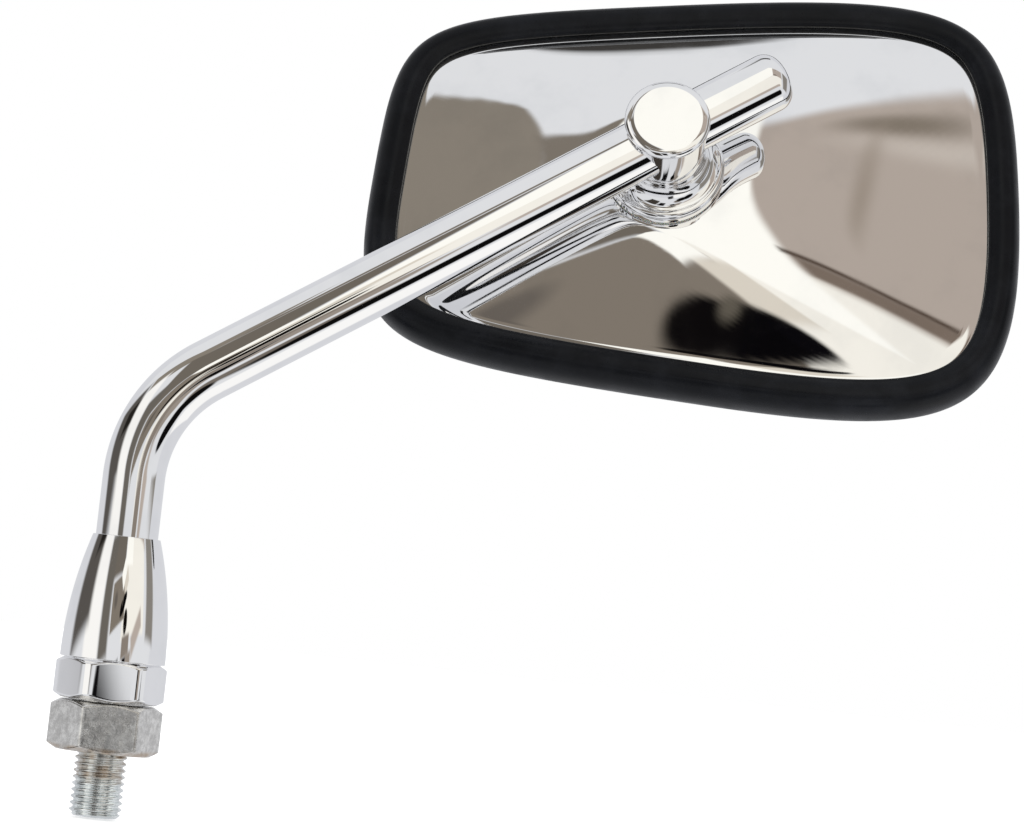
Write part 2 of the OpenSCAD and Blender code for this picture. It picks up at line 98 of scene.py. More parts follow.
@dataclass(frozen=True)
class Layout:
    """Where the bar, the post and the head stand, as the part's source has them.

    Attributes:
        bend_z: height at which the bend starts.
        bend_r: radius of the bend at the bar's axis.
        bend_angle: turn of the bend, in degrees.
        bar_reach: straight length from the bend to the post.
        head_roll: turn of the head about the bar, in degrees.
        head_slant: slant of the bar against the head's long side, in degrees.
        bar_h: height of the bar's axis above the middle plane of the rim.
    """

    bend_z: float = 53.1
    bend_r: float = 27.0
    bend_angle: float = 56.0
    bar_reach: float = 103.0
    head_roll: float = 24.0
    head_slant: float = 27.0
    bar_h: float = 27.05

    def at_bar(self) -> Matrix:
        """Frame on the straight bar after the bend, with Z along it."""
        turn = radians(self.bend_angle)
        place = Vector((self.bend_r * (1 - cos(turn)), 0, self.bend_z + self.bend_r * sin(turn)))
        return Matrix.Translation(place) @ Matrix.Rotation(turn, 4, "Y")

    def at_post(self) -> Matrix:
        """Frame on the post, with X along the bar and Z out of the head's back."""
        place = self.at_bar() @ Vector((0, 0, self.bar_reach))
        tilt = Matrix.Rotation(radians(self.bend_angle - 90), 4, "Y")
        return Matrix.Translation(place) @ tilt @ Matrix.Rotation(radians(90 - self.head_roll), 4, "X")

    def at_head(self) -> Matrix:
        """Frame on the head, with X along its long side and Z out of its back."""
        slant = Matrix.Rotation(radians(-self.head_slant), 4, "Z")
        return self.at_post() @ slant @ Matrix.Translation((0, 0, -self.bar_h))


LAYOUT = Layout()


# Meshes


def signed_volume(mesh: bmesh.types.BMesh) -> float:
    """Six times the volume inside a closed mesh, negative where it is inside out."""
    total = 0.0
    for face in mesh.faces:
        first = face.verts[0].co
        for one, two in zip(face.verts[1:-1], face.verts[2:]):
            total += first.dot(one.co.cross(two.co))
    return total


def add_object(name: str, data: bpy.types.Mesh) -> Piece:
    """Puts a mesh in the scene.

    Args:
        name: the piece's name.
        data: its mesh, already in the shared frame.

    Returns:
        The new object, at the origin.
    """
    data.name = name
    piece = bpy.data.objects.new(name, data)
    bpy.context.scene.collection.objects.link(piece)
    return piece


def finish_mesh(name: str, mesh: bmesh.types.BMesh) -> Piece:
    """Closes the poles, turns the faces outwards and smooths the shading.

    Args:
        name: the piece's name.
        mesh: the mesh that was built, freed here.

    Returns:
        The new object.
    """
    bmesh.ops.remove_doubles(mesh, verts=mesh.verts, dist=1e-7)
    bmesh.ops.dissolve_degenerate(mesh, edges=mesh.edges, dist=1e-8)
    if signed_volume(mesh) < 0:
        bmesh.ops.reverse_faces(mesh, faces=mesh.faces)
    for face in mesh.faces:
        face.smooth = True
    data = bpy.data.meshes.new(name)
    mesh.to_mesh(data)
    mesh.free()
    return add_object(name, data)


def add_skin(mesh: bmesh.types.BMesh, rows: Sequence[Row], matrix: Matrix, ring: bool = False) -> None:
    """Joins rows of equal length with quads, round each row and from row to row.

    Args:
        mesh: the mesh that takes the faces.
        rows: rows of points, in millimetres.
        matrix: from the rows' frame to the shared frame, in millimetres.
        ring: whether the last row is joined to the first.
    """
    made = [[mesh.verts.new((matrix @ point) * MM) for point in row] for row in rows]
    count = len(made[0])
    last = len(made) if ring else len(made) - 1
    for j in range(last):
        here, there = made[j], made[(j + 1) % len(made)]
        for k in range(count):
            nxt = (k + 1) % count
            mesh.faces.new((here[k], here[nxt], there[nxt], there[k]))


def settle(piece: Piece) -> None:
    """Turns what a piece's modifiers make of it into its plain mesh."""
    graph = bpy.context.evaluated_depsgraph_get()
    piece.data = bpy.data.meshes.new_from_object(piece.evaluated_get(graph), depsgraph=graph)
    piece.modifiers.clear()


def skin(name: str, rows: Sequence[Row], matrix: Matrix, ring: bool = False) -> Piece:
    """A piece made of one closed skin through rows of points."""
    mesh = bmesh.new()
    add_skin(mesh, rows, matrix, ring)
    return finish_mesh(name, mesh)


def rounded(corners: Sequence[Corner], ring: bool = False, steps: int = 7) -> list[FlatPoint]:
    """A half section with its corners rounded, and a guard point on both sides of each round.

    Args:
        corners: (radius, height, corner radius) of each corner.
        ring: whether the section closes on itself.
        steps: points on each round.

    Returns:
        The (radius, height) points in order.
    """
    points: list[FlatPoint] = []
    for i, (r, z, corner_r) in enumerate(corners):
        at_end = not ring and i in (0, len(corners) - 1)
        if corner_r <= 0 or at_end:
            points.append((r, z))
            continue
        here = Vector((r, z))
        back = Vector(corners[i - 1][:2]) - here
        ahead = Vector(corners[(i + 1) % len(corners)][:2]) - here
        u, v = back.normalized(), ahead.normalized()
        half = u.angle(v) / 2
        reach = min(corner_r / tan(half), ROUND_SHARE * back.length, ROUND_SHARE * ahead.length)
        centre = here + (u + v).normalized() * (reach / cos(half))
        guard = min(GUARD_MM, GUARD_SHARE * back.length, GUARD_SHARE * ahead.length)
        start, end = here + u * reach, here + v * reach
        points.append(tuple(start + u * guard))
        spoke, sweep = start - centre, (start - centre).angle_signed(end - centre)
        for k in range(steps + 1):
            turned = spoke.copy()
            turned.rotate(Matrix.Rotation(-sweep * k / steps, 2))
            points.append(tuple(centre + turned))
        points.append(tuple(end + v * guard))
    return points


def lathe_rows(section: Sequence[FlatPoint], sides: int) -> list[Row]:
    """Rows of a turned piece, one for each point of its half section."""
    spokes = [(cos(TURN * k / sides), sin(TURN * k / sides)) for k in range(sides)]
    return [[Vector((r * c, r * s, z)) for c, s in spokes] for r, z in section]


def soft_min(a: float, b: float, width: float) -> float:
    """The smaller of two lengths, with a round of about that width where they meet."""
    overlap = max(width - abs(a - b), 0.0) / width
    return min(a, b) - overlap * overlap * width / 4


@dataclass(frozen=True)
class HexBar:
    """A hexagon that is turned down to a round edge at its ends.

    Attributes:
        across: width across the flats.
        turned_d: diameter of the turned edge at the corners.
        height: height of the hexagon.
        chamfer: share of the face that the end chamfer takes.
        soft: width of the round on its edges.
        first_flat: angle of the first flat from X, in degrees.
    """

    across: float
    turned_d: float
    height: float
    chamfer: float = 0.9
    soft: float = 0.3
    first_flat: float = 30.0

    def spokes(self) -> list[float]:
        """Angles round the hexagon, closer together at its corners."""
        shares = [0, 0.12, 0.25, 0.38, 0.5, 0.6, 0.68, 0.75, 0.81, 0.86, 0.9, 0.93, 0.955, 0.98]
        half = shares + [1]
        corner_to_corner = [-s for s in reversed(half[1:])] + half[:-1]
        turns = []
        for side in range(6):
            middle = radians(self.first_flat + 60 * side)
            turns += [middle + s * pi / 6 for s in corner_to_corner]
        return turns

    def flat_reach(self, turn: float) -> float:
        """Distance from the axis to the nearest flat, in the direction of an angle."""
        reach = 1e3
        for side in range(6):
            facing = cos(turn - radians(self.first_flat + 60 * side))
            if facing > 0.3:
                reach = soft_min(reach, self.across / 2 / facing, self.soft)
        return reach

    def end_r(self) -> float:
        """Radius of the flat end face inside the chamfer."""
        return self.turned_d / 2 - (self.turned_d - self.across) / 2 - self.chamfer / 2

    def cone_r(self, height: float) -> float:
        """Radius of the turned shape at a height."""
        from_end = min(height, self.height - height)
        return soft_min(self.turned_d / 2, self.end_r() + from_end / tan(radians(30)), self.soft)

    def rows(self, base: float, turns: Sequence[float]) -> list[Row]:
        """Rows from the lower end face to the upper one.

        Args:
            base: height of the lower end.
            turns: angles round the hexagon.

        Returns:
            The rows of points.
        """
        steep = [0.0, 0.02, 0.06, 0.11, 0.17, 0.24, 0.31, 0.39, 0.47, 0.56]
        steep += [0.65, 0.75, 0.85, 0.96, 1.08, 1.2, 1.35, 1.5, 1.7, 2.0]
        middle = [self.height * s for s in (0.35, 0.5, 0.65)]
        heights = steep + middle + [self.height - z for z in reversed(steep)]
        rows = []
        for z in heights:
            cone = self.cone_r(z)
            reach = [soft_min(self.flat_reach(t), cone, self.soft) for t in turns]
            rows.append([Vector((r * cos(t), r * sin(t), base + z)) for r, t in zip(reach, turns)])
        return rows


def round_row(r: float, z: float, turns: Sequence[float]) -> Row:
    """A level circle of points at the given angles."""
    return [Vector((r * cos(t), r * sin(t), z)) for t in turns]


# Node trees


Value = float | Socket


class Sketch:
    """A node tree that is being drawn, with short ways to add and link nodes."""

    def __init__(self, tree: bpy.types.NodeTree) -> None:
        """Takes the tree that is drawn in."""
        self.tree = tree

    def put(self, socket: Socket, value: object) -> None:
        """Links an output to the socket, or sets the socket's own value."""
        if isinstance(value, Socket):
            self.tree.links.new(value, socket)
        else:
            socket.default_value = value

    def add(self, kind: str, inputs: Inputs | None = None, **settings: object) -> Node:
        """Adds a node.

        Args:
            kind: Blender's name for this kind of node.
            inputs: what goes into its sockets, by number or name.
            **settings: its properties.

        Returns:
            The node.
        """
        node = self.tree.nodes.new(kind)
        for key, value in settings.items():
            setattr(node, key, value)
        for key, value in (inputs or {}).items():
            self.put(node.inputs[key], value)
        return node

    def math(self, operation: str, *values: Value) -> Socket:
        """A Math node's result."""
        return self.add("ShaderNodeMath", dict(enumerate(values)), operation=operation).outputs[0]

    def span(self, value: Value, low: float, high: float, to_low: float, to_high: float) -> Socket:
        """A value smoothly mapped from one span to another."""
        inputs = dict(enumerate((value, low, high, to_low, to_high)))
        return self.add("ShaderNodeMapRange", inputs, interpolation_type="SMOOTHSTEP").outputs[0]

    def mix(self, share: Value, one: Colour | Socket, two: Colour | Socket) -> Socket:
        """A mix of two colours."""
        ends = {key: end if isinstance(end, Socket) else (*end, 1) for key, end in ((6, one), (7, two))}
        return self.add("ShaderNodeMix", {0: share, **ends}, data_type="RGBA").outputs[2]


class PieceTree(Sketch):
    """A Geometry Nodes tree with named inputs, run on a mesh and then turned into a plain mesh."""

    def __init__(self, name: str) -> None:
        """Starts an empty tree with a geometry input and output."""
        super().__init__(bpy.data.node_groups.new(name, "GeometryNodeTree"))
        self.values: dict[str, float] = {}
        self._socket("Geometry", "INPUT", "NodeSocketGeometry")
        self._socket("Geometry", "OUTPUT", "NodeSocketGeometry")
        self.source = self.add("NodeGroupInput")
        self.sink = self.add("NodeGroupOutput")

    def _socket(self, name: str, side: str, kind: str) -> bpy.types.NodeTreeInterfaceSocket:
        """Adds a socket to the tree's interface."""
        return self.tree.interface.new_socket(name=name, in_out=side, socket_type=kind)

    def size(self, name: str, value: float) -> Socket:
        """Adds a named number and returns its socket inside the tree."""
        kind = "NodeSocketInt" if isinstance(value, int) else "NodeSocketFloat"
        item = self._socket(name, "INPUT", kind)
        self.values[item.identifier] = value
        return self.source.outputs[name]

    def close(self, geometry: Socket, gap: float, finish: Material) -> None:
        """Ends the tree with joined points, smooth shading, real geometry and its material.

        Args:
            geometry: what the tree has made.
            gap: distance up to which points are joined, in metres.
            finish: the material.
        """
        joined = self.add("GeometryNodeMergeByDistance", {"Geometry": geometry, "Distance": gap})
        smooth = self.add("GeometryNodeSetShadeSmooth", {0: joined.outputs[0]})
        real = self.add("GeometryNodeRealizeInstances", {0: smooth.outputs[0]})
        dressed = self.add("GeometryNodeSetMaterial", {0: real.outputs[0], "Material": finish})
        self.put(self.sink.inputs[0], dressed.outputs[0])

    def run(self, name: str, data: bpy.types.Mesh) -> Piece:
        """Runs the tree on a mesh.

        Args:
            name: the piece's name.
            data: the mesh that the tree starts from.

        Returns:
            The piece as a plain mesh, with no modifier left.
        """
        piece = add_object(name, data)
        modifier = piece.modifiers.new("build", "NODES")
        modifier.node_group = self.tree
        for identifier, value in self.values.items():
            modifier[identifier] = value
        settle(piece)
        mesh = bmesh.new()
        mesh.from_mesh(piece.data)
        if signed_volume(mesh) < 0:
            bmesh.ops.reverse_faces(mesh, faces=mesh.faces)
        mesh.to_mesh(piece.data)
        mesh.free()
        return piece


# Finishes


def dimmed(colour: Colour, share: float) -> Colour:
    """A colour at a share of its light."""
    return tuple(c * share for c in colour)


class Finish(Sketch):
    """A procedural material on Object coordinates."""

    def __init__(self, name: str, roughness: float, metallic: float = 0.0) -> None:
        """Starts the material.

        Args:
            name: the material's name.
            roughness: roughness where no pattern changes it.
            metallic: 1 for bare metal.
        """
        self.material = bpy.data.materials.new(name)
        self.material.use_nodes = True
        super().__init__(self.material.node_tree)
        self.shader = self.tree.nodes["Principled BSDF"]
        self.set("Roughness", roughness)
        self.set("Metallic", metallic)
        self.place = self.add("ShaderNodeTexCoord").outputs["Object"]

    def set(self, name: str, value: object) -> None:
        """Sets or links one of the shader's inputs."""
        self.put(self.shader.inputs[name], value)

    def stretched(self, scale: Triple) -> Socket:
        """Object coordinates, scaled along each axis."""
        return self.add("ShaderNodeMapping", {"Vector": self.place, "Scale": scale}).outputs[0]

    def noise(self, scale: float, detail: float = 3, rough: float = 0.5, at: Socket | None = None) -> Socket:
        """A noise value over the piece."""
        inputs = {"Vector": at or self.place, "Scale": scale, "Detail": detail, "Roughness": rough}
        return self.add("ShaderNodeTexNoise", inputs).outputs[0]

    def tones(self, share: Socket, one: Colour | Socket, two: Colour) -> None:
        """Gives a base colour that runs from one tone to another."""
        self.set("Base Color", self.mix(share, one, two))

    def gloss(self, pattern: Socket, low: float, high: float, smooth: float, rough: float) -> None:
        """Lets the roughness follow a pattern.

        Args:
            pattern: the pattern's value.
            low: value up to which the finish is smooth.
            high: value from which it is rough.
            smooth: its roughness where it is smooth.
            rough: its roughness where it is rough.
        """
        self.set("Roughness", self.span(pattern, low, high, smooth, rough))

    def relief(self, height: Socket, strength: float, depth_mm: float) -> None:
        """Adds a bump."""
        inputs = {"Strength": strength, "Distance": depth_mm * MM, "Height": height}
        self.set("Normal", self.add("ShaderNodeBump", inputs).outputs[0])


@dataclass(frozen=True)
class Chrome:
    """Bright plating: a faint haze and, on pressed sheet, a slow ripple.

    Attributes:
        name: the material's name.
        bright: colour of the clean plating.
        dull: colour where the haze lies.
        polish: roughness of the clean plating.
        haze: roughness where the haze lies.
        ripple_mm: depth of the slow ripple.
        ripple_scale: how many ripples lie on a metre.
    """

    name: str
    bright: Colour = (0.93, 0.93, 0.935)
    dull: Colour = (0.86, 0.865, 0.875)
    polish: float = 0.02
    haze: float = 0.06
    ripple_mm: float = 0.0
    ripple_scale: float = 45.0

    def paint(self) -> Material:
        """Builds the material."""
        finish = Finish(self.name, self.polish, 1.0)
        cloud = finish.span(finish.noise(55, 4, 0.6), 0.45, 0.72, 0.0, 1.0)
        finish.tones(cloud, self.bright, self.dull)
        finish.gloss(finish.noise(90, 5, 0.6), 0.4, 0.8, self.polish, self.haze)
        if self.ripple_mm:
            finish.relief(finish.noise(self.ripple_scale, 1, 0.3), 1.0, self.ripple_mm)
        return finish.material


@dataclass(frozen=True)
class Zinc:
    """Plated steel, mottled, with brown tint near the stud's root.

    Attributes:
        name: the material's name.
        pale: colour of the paler patches.
        dark: colour of the darker patches.
        sheen: roughness of the smoothest and of the dullest patches.
        tint: colour of the tarnish.
        tint_low: height at which the tarnish ends below, in millimetres.
        tint_high: height at which it ends above.
        fade_low: how far it fades out below.
        fade_high: how far it fades out above.
    """

    name: str
    pale: Colour
    dark: Colour
    sheen: tuple[float, float]
    tint: Colour = (0.45, 0.33, 0.22)
    tint_low: float = -4.2
    tint_high: float = 0.6
    fade_low: float = 2.0
    fade_high: float = 0.8

    def paint(self) -> Material:
        """Builds the material."""
        finish = Finish(self.name, 0.3, 1.0)
        mottle = finish.span(finish.noise(600, 6, 0.75), 0.38, 0.66, 0.0, 1.0)
        base = finish.mix(mottle, self.dark, self.pale)
        height = finish.add("ShaderNodeSeparateXYZ", {0: finish.place}).outputs[2]
        low = finish.span(height, (self.tint_low - self.fade_low) * MM, self.tint_low * MM, 0.0, 1.0)
        high = finish.span(height, self.tint_high * MM, (self.tint_high + self.fade_high) * MM, 1.0, 0.0)
        patches = finish.span(finish.noise(350, 3), 0.35, 0.7, 0.15, 0.75)
        finish.tones(finish.math("MULTIPLY", finish.math("MULTIPLY", low, high), patches), base, self.tint)
        finish.gloss(finish.noise(900, 5, 0.7), 0.3, 0.75, *self.sheen)
        finish.relief(finish.noise(2600, 4, 0.65), 0.35, 0.03)
        return finish.material


@dataclass(frozen=True)
class Steel:
    """Plain oiled steel of the hidden hardware, with turning marks.

    Attributes:
        name: the material's name.
        colour: its colour.
    """

    name: str = "plain_steel"
    colour: Colour = (0.56, 0.565, 0.58)

    def paint(self) -> Material:
        """Builds the material."""
        finish = Finish(self.name, 0.32, 1.0)
        finish.tones(finish.noise(260, 5, 0.7), dimmed(self.colour, 0.8), self.colour)
        finish.gloss(finish.noise(700, 4, 0.6), 0.3, 0.7, 0.26, 0.42)
        finish.relief(finish.noise(1, 3, 0.6, finish.stretched((900, 900, 5000))), 0.2, 0.02)
        return finish.material


@dataclass(frozen=True)
class Nylon:
    """Moulded nylon of the washers, the bush and the nut's ring.

    Attributes:
        name: the material's name.
        colour: its colour.
    """

    name: str = "nylon_moulded"
    colour: Colour = (0.80, 0.78, 0.70)

    def paint(self) -> Material:
        """Builds the material."""
        finish = Finish(self.name, 0.42)
        finish.tones(finish.noise(300, 3), dimmed(self.colour, 0.92), self.colour)
        finish.set("Subsurface Weight", 0.15)
        finish.set("Subsurface Scale", MM)
        finish.relief(finish.noise(1500, 3), 0.15, 0.02)
        return finish.material


@dataclass(frozen=True)
class Rubber:
    """Moulded rubber: nearly black, a little blue, with a fine skin and dusty patches.

    Attributes:
        name: the material's name.
        dark: colour of the clean rubber.
        dusty: colour where it is dusty.
    """

    name: str = "rubber_moulded"
    dark: Colour = (0.004, 0.0045, 0.006)
    dusty: Colour = (0.010, 0.011, 0.014)

    def paint(self) -> Material:
        """Builds the material."""
        finish = Finish(self.name, 0.3)
        finish.set("Specular IOR Level", 0.13)
        cloud = finish.span(finish.noise(70, 5, 0.65), 0.4, 0.75, 0.0, 1.0)
        finish.tones(cloud, self.dark, self.dusty)
        finish.gloss(finish.noise(160, 4, 0.6), 0.3, 0.75, 0.24, 0.4)
        finish.relief(finish.noise(2400, 3, 0.6), 0.12, 0.03)
        return finish.material


@dataclass(frozen=True)
class SilveredGlass:
    """The mirror glass: silvering under clear glass, slightly green, with faint dust.

    Attributes:
        name: the material's name.
        silver: colour of the silvering through the glass.
    """

    name: str = "glass_silvered"
    silver: Colour = (0.84, 0.875, 0.865)

    def paint(self) -> Material:
        """Builds the material."""
        finish = Finish(self.name, 0.015, 1.0)
        finish.tones(finish.noise(30, 2), dimmed(self.silver, 0.97), self.silver)
        finish.gloss(finish.noise(120, 6, 0.7), 0.5, 0.85, 0.012, 0.05)
        finish.set("Coat Weight", 0.6)
        finish.set("Coat Roughness", 0.01)
        return finish.material


@dataclass(frozen=True)
class Foam:
    """Foam pad behind the glass.

    Attributes:
        name: the material's name.
        colour: its colour.
    """

    name: str = "foam_pad"
    colour: Colour = (0.09, 0.085, 0.08)

    def paint(self) -> Material:
        """Builds the material."""
        finish = Finish(self.name, 0.95)
        finish.tones(finish.noise(900, 5, 0.8), dimmed(self.colour, 0.6), self.colour)
        finish.relief(finish.noise(3000, 4, 0.8), 0.8, 0.1)
        return finish.material


class Palette:
    """One material for each finish of the object."""

    def __init__(self) -> None:
        """Paints each finish once."""
        self.bar = Chrome("chrome_bar").paint()
        self.pressed = Chrome("chrome_pressed", ripple_mm=0.05).paint()
        self.turned = Chrome("chrome_turned", haze=0.12).paint()
        self.zinc = Zinc("zinc_plate", (0.86, 0.85, 0.82), (0.56, 0.55, 0.53), (0.14, 0.34)).paint()
        self.thread = Zinc("zinc_thread", (0.93, 0.96, 0.95), (0.7, 0.73, 0.73), (0.05, 0.14)).paint()
        self.steel = Steel().paint()
        self.nylon = Nylon().paint()
        self.rubber = Rubber().paint()
        self.glass = SilveredGlass().paint()
        self.foam = Foam().paint()


def dress(piece: Piece, finish: Material, body: Body, slot: Slot, *nodes: str) -> None:
    """Gives a piece its material, its body and the CAD nodes that it stands for.

    Args:
        piece: the finished piece.
        finish: its material.
        body: the body that it rides on.
        slot: the record's slot for its finish; not used.
        nodes: the CAD nodes that it replaces.
    """
    if not piece.data.materials:
        piece.data.materials.append(finish)
    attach(piece, body.value)
    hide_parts(*nodes)
    log.info("%s: %d faces on %s", piece.name, len(piece.data.polygons), body.value)


# Stud and adapter


@dataclass
class StudAdapter:
    """The zinc adapter: a threaded stud under a hexagon, with a spigot that the ferrule screws on."""

    stud_r: float = 5.0
    stud_len: float = 12.4
    pitch: float = 1.25
    thread_depth: float = 0.62
    end_chamfer: float = 0.8
    sunk: float = 0.5
    spigot_r: float = 7.0
    neck_r: float = 6.7
    neck_h: float = 0.3
    spigot_len: float = 7.6
    hexagon: HexBar = HexBar(19.0, 19.0 / cos(radians(30)) - 0.2, 9.6, soft=0.22)

    def thread_tree(self, finish: Material) -> PieceTree:
        """A grid that is wound round the axis, with a ridge that climbs one pitch a turn."""
        tree = PieceTree("stud_thread")
        math, add = tree.math, tree.add
        radius = tree.size("Radius", self.stud_r * MM)
        length = tree.size("Length", self.stud_len * MM)
        pitch = tree.size("Pitch", self.pitch * MM)
        depth = tree.size("Depth", self.thread_depth * MM)
        chamfer = tree.size("Chamfer", self.end_chamfer * MM)
        sunk = tree.size("Sunk", self.sunk * MM)
        sides = tree.size("Sides", 96)
        rows = tree.size("Rows", 300)
        lattice = {"Size X": 1.0, "Size Y": 1.0, "Vertices X": math("ADD", sides, 1), "Vertices Y": rows}
        grid = add("GeometryNodeMeshGrid", lattice).outputs["Mesh"]
        split = add("ShaderNodeSeparateXYZ", {0: add("GeometryNodeInputPosition").outputs[0]})
        around = math("ADD", split.outputs[0], 0.5)
        along = math("ADD", split.outputs[1], 0.5)
        whole = math("ADD", math("ADD", length, sunk), math("MULTIPLY", radius, 2.0))
        travel = math("SUBTRACT", math("MULTIPLY", along, whole), math("ADD", sunk, radius))
        drop = math("MINIMUM", math("MAXIMUM", travel, math("MULTIPLY", sunk, -1.0)), length)
        phase = math("FRACT", math("ADD", math("DIVIDE", drop, pitch), around))
        wave = math("ABSOLUTE", math("SUBTRACT", math("MULTIPLY", phase, 2.0), 1.0))
        thread = math("SUBTRACT", radius, math("MULTIPLY", depth, tree.span(wave, 0.1, 0.9, 0.0, 1.0)))
        cone = math("ADD", math("SUBTRACT", radius, chamfer), math("SUBTRACT", length, drop))
        low_face = math("SUBTRACT", math("ADD", length, radius), travel)
        high_face = math("ADD", math("ADD", travel, sunk), radius)
        reach = thread
        for limit in (cone, low_face, high_face):
            reach = math("MINIMUM", reach, limit)
        turn = math("MULTIPLY", around, TURN)
        out, aside = (math("MULTIPLY", reach, math(way, turn)) for way in ("COSINE", "SINE"))
        point = add("ShaderNodeCombineXYZ", {0: out, 1: aside, 2: math("MULTIPLY", drop, -1.0)}).outputs[0]
        moved = add("GeometryNodeSetPosition", {"Geometry": grid, "Position": point})
        tree.close(moved.outputs[0], 1e-6, finish)
        return tree

    def build(self, palette: Palette) -> None:
        """Builds the adapter's hexagon with its spigot, and the stud."""
        turns = self.hexagon.spokes()
        top = self.hexagon.height
        shoulder = top + self.neck_h
        crown = top + self.spigot_len
        guard_r = self.hexagon.end_r() - 0.3
        rows = [round_row(r, 0, turns) for r in (0, 3, 6, guard_r)]
        rows += self.hexagon.rows(0, turns)
        rows += [round_row(guard_r, top, turns)]
        spigot = rounded([
            (8.0, top, 0), (self.neck_r, top, 0.05), (self.neck_r, shoulder, 0.05),
            (self.spigot_r, shoulder, 0.05), (self.spigot_r, crown, 0.3), (0.0, crown, 0)], steps=3)
        rows += [round_row(r, z, turns) for r, z in spigot[1:]]
        adapter = skin("adapter_hexagon", rows, Matrix.Identity(4))
        dress(adapter, palette.zinc, Body.BASE, Slot.ZINC, "adapter_bolt")
        stud = self.thread_tree(palette.thread).run("threaded_stud", bpy.data.meshes.new("stud"))
        dress(stud, palette.thread, Body.BASE, Slot.ZINC, "adapter_bolt")


# Ferrule


@dataclass
class ClampFerrule:
    """The chrome ferrule: a hexagon with a long taper that closes round the bar."""

    base_z: float = 9.9
    hex_h: float = 7.8
    taper_len: float = 24.0
    taper_r: float = 10.15
    rim_r: float = 6.5
    bore_r: float = 6.1
    thread_r: float = 7.05
    bore_top: float = 22.2
    hexagon: HexBar = HexBar(19.4, 21.4, 7.8, soft=0.3)

    def taper_at(self, rise: float) -> float:
        """Radius of the taper at a height above the hexagon."""
        drop = self.taper_r - self.rim_r
        arc_r = (self.taper_len ** 2 + drop ** 2) / (2 * drop)
        return self.taper_r - arc_r + sqrt(arc_r ** 2 - rise ** 2)

    def build(self, palette: Palette) -> None:
        """Builds the ferrule as one closed skin, bore and all."""
        turns = self.hexagon.spokes()
        shoulder = self.base_z + self.hex_h
        top = shoulder + self.taper_len
        end_r = self.hexagon.end_r()
        rows = [round_row(self.thread_r, self.base_z, turns), round_row(end_r - 0.3, self.base_z, turns)]
        rows += self.hexagon.rows(self.base_z, turns)
        groove = [(end_r, shoulder, 0), (end_r + 0.05, shoulder + 0.02, 0)]
        groove += [(self.taper_r, shoulder + 0.1, 0.12)]
        rises = [0.5, 1.0] + [1.0 + (self.taper_len - 1.4) * k / 22 for k in range(1, 23)]
        taper = [(self.taper_at(rise), shoulder + rise, 0) for rise in rises]
        lip = [(self.rim_r, top, 0.12), (self.bore_r, top, 0.08), (self.bore_r, top - 4, 0)]
        bore = [(self.bore_r, self.bore_top + 1, 0.1), (self.thread_r, self.bore_top, 0.1)]
        bore += [(self.thread_r, self.base_z, 0)]
        section = rounded(groove + taper + lip + bore, steps=4)
        rows += [round_row(r, z, turns) for r, z in section[1:-1]]
        ferrule = skin("clamp_ferrule_turned", rows, Matrix.Identity(4), ring=True)
        dress(ferrule, palette.turned, Body.BASE, Slot.CHROME, "clamp_ferrule")


# Bar


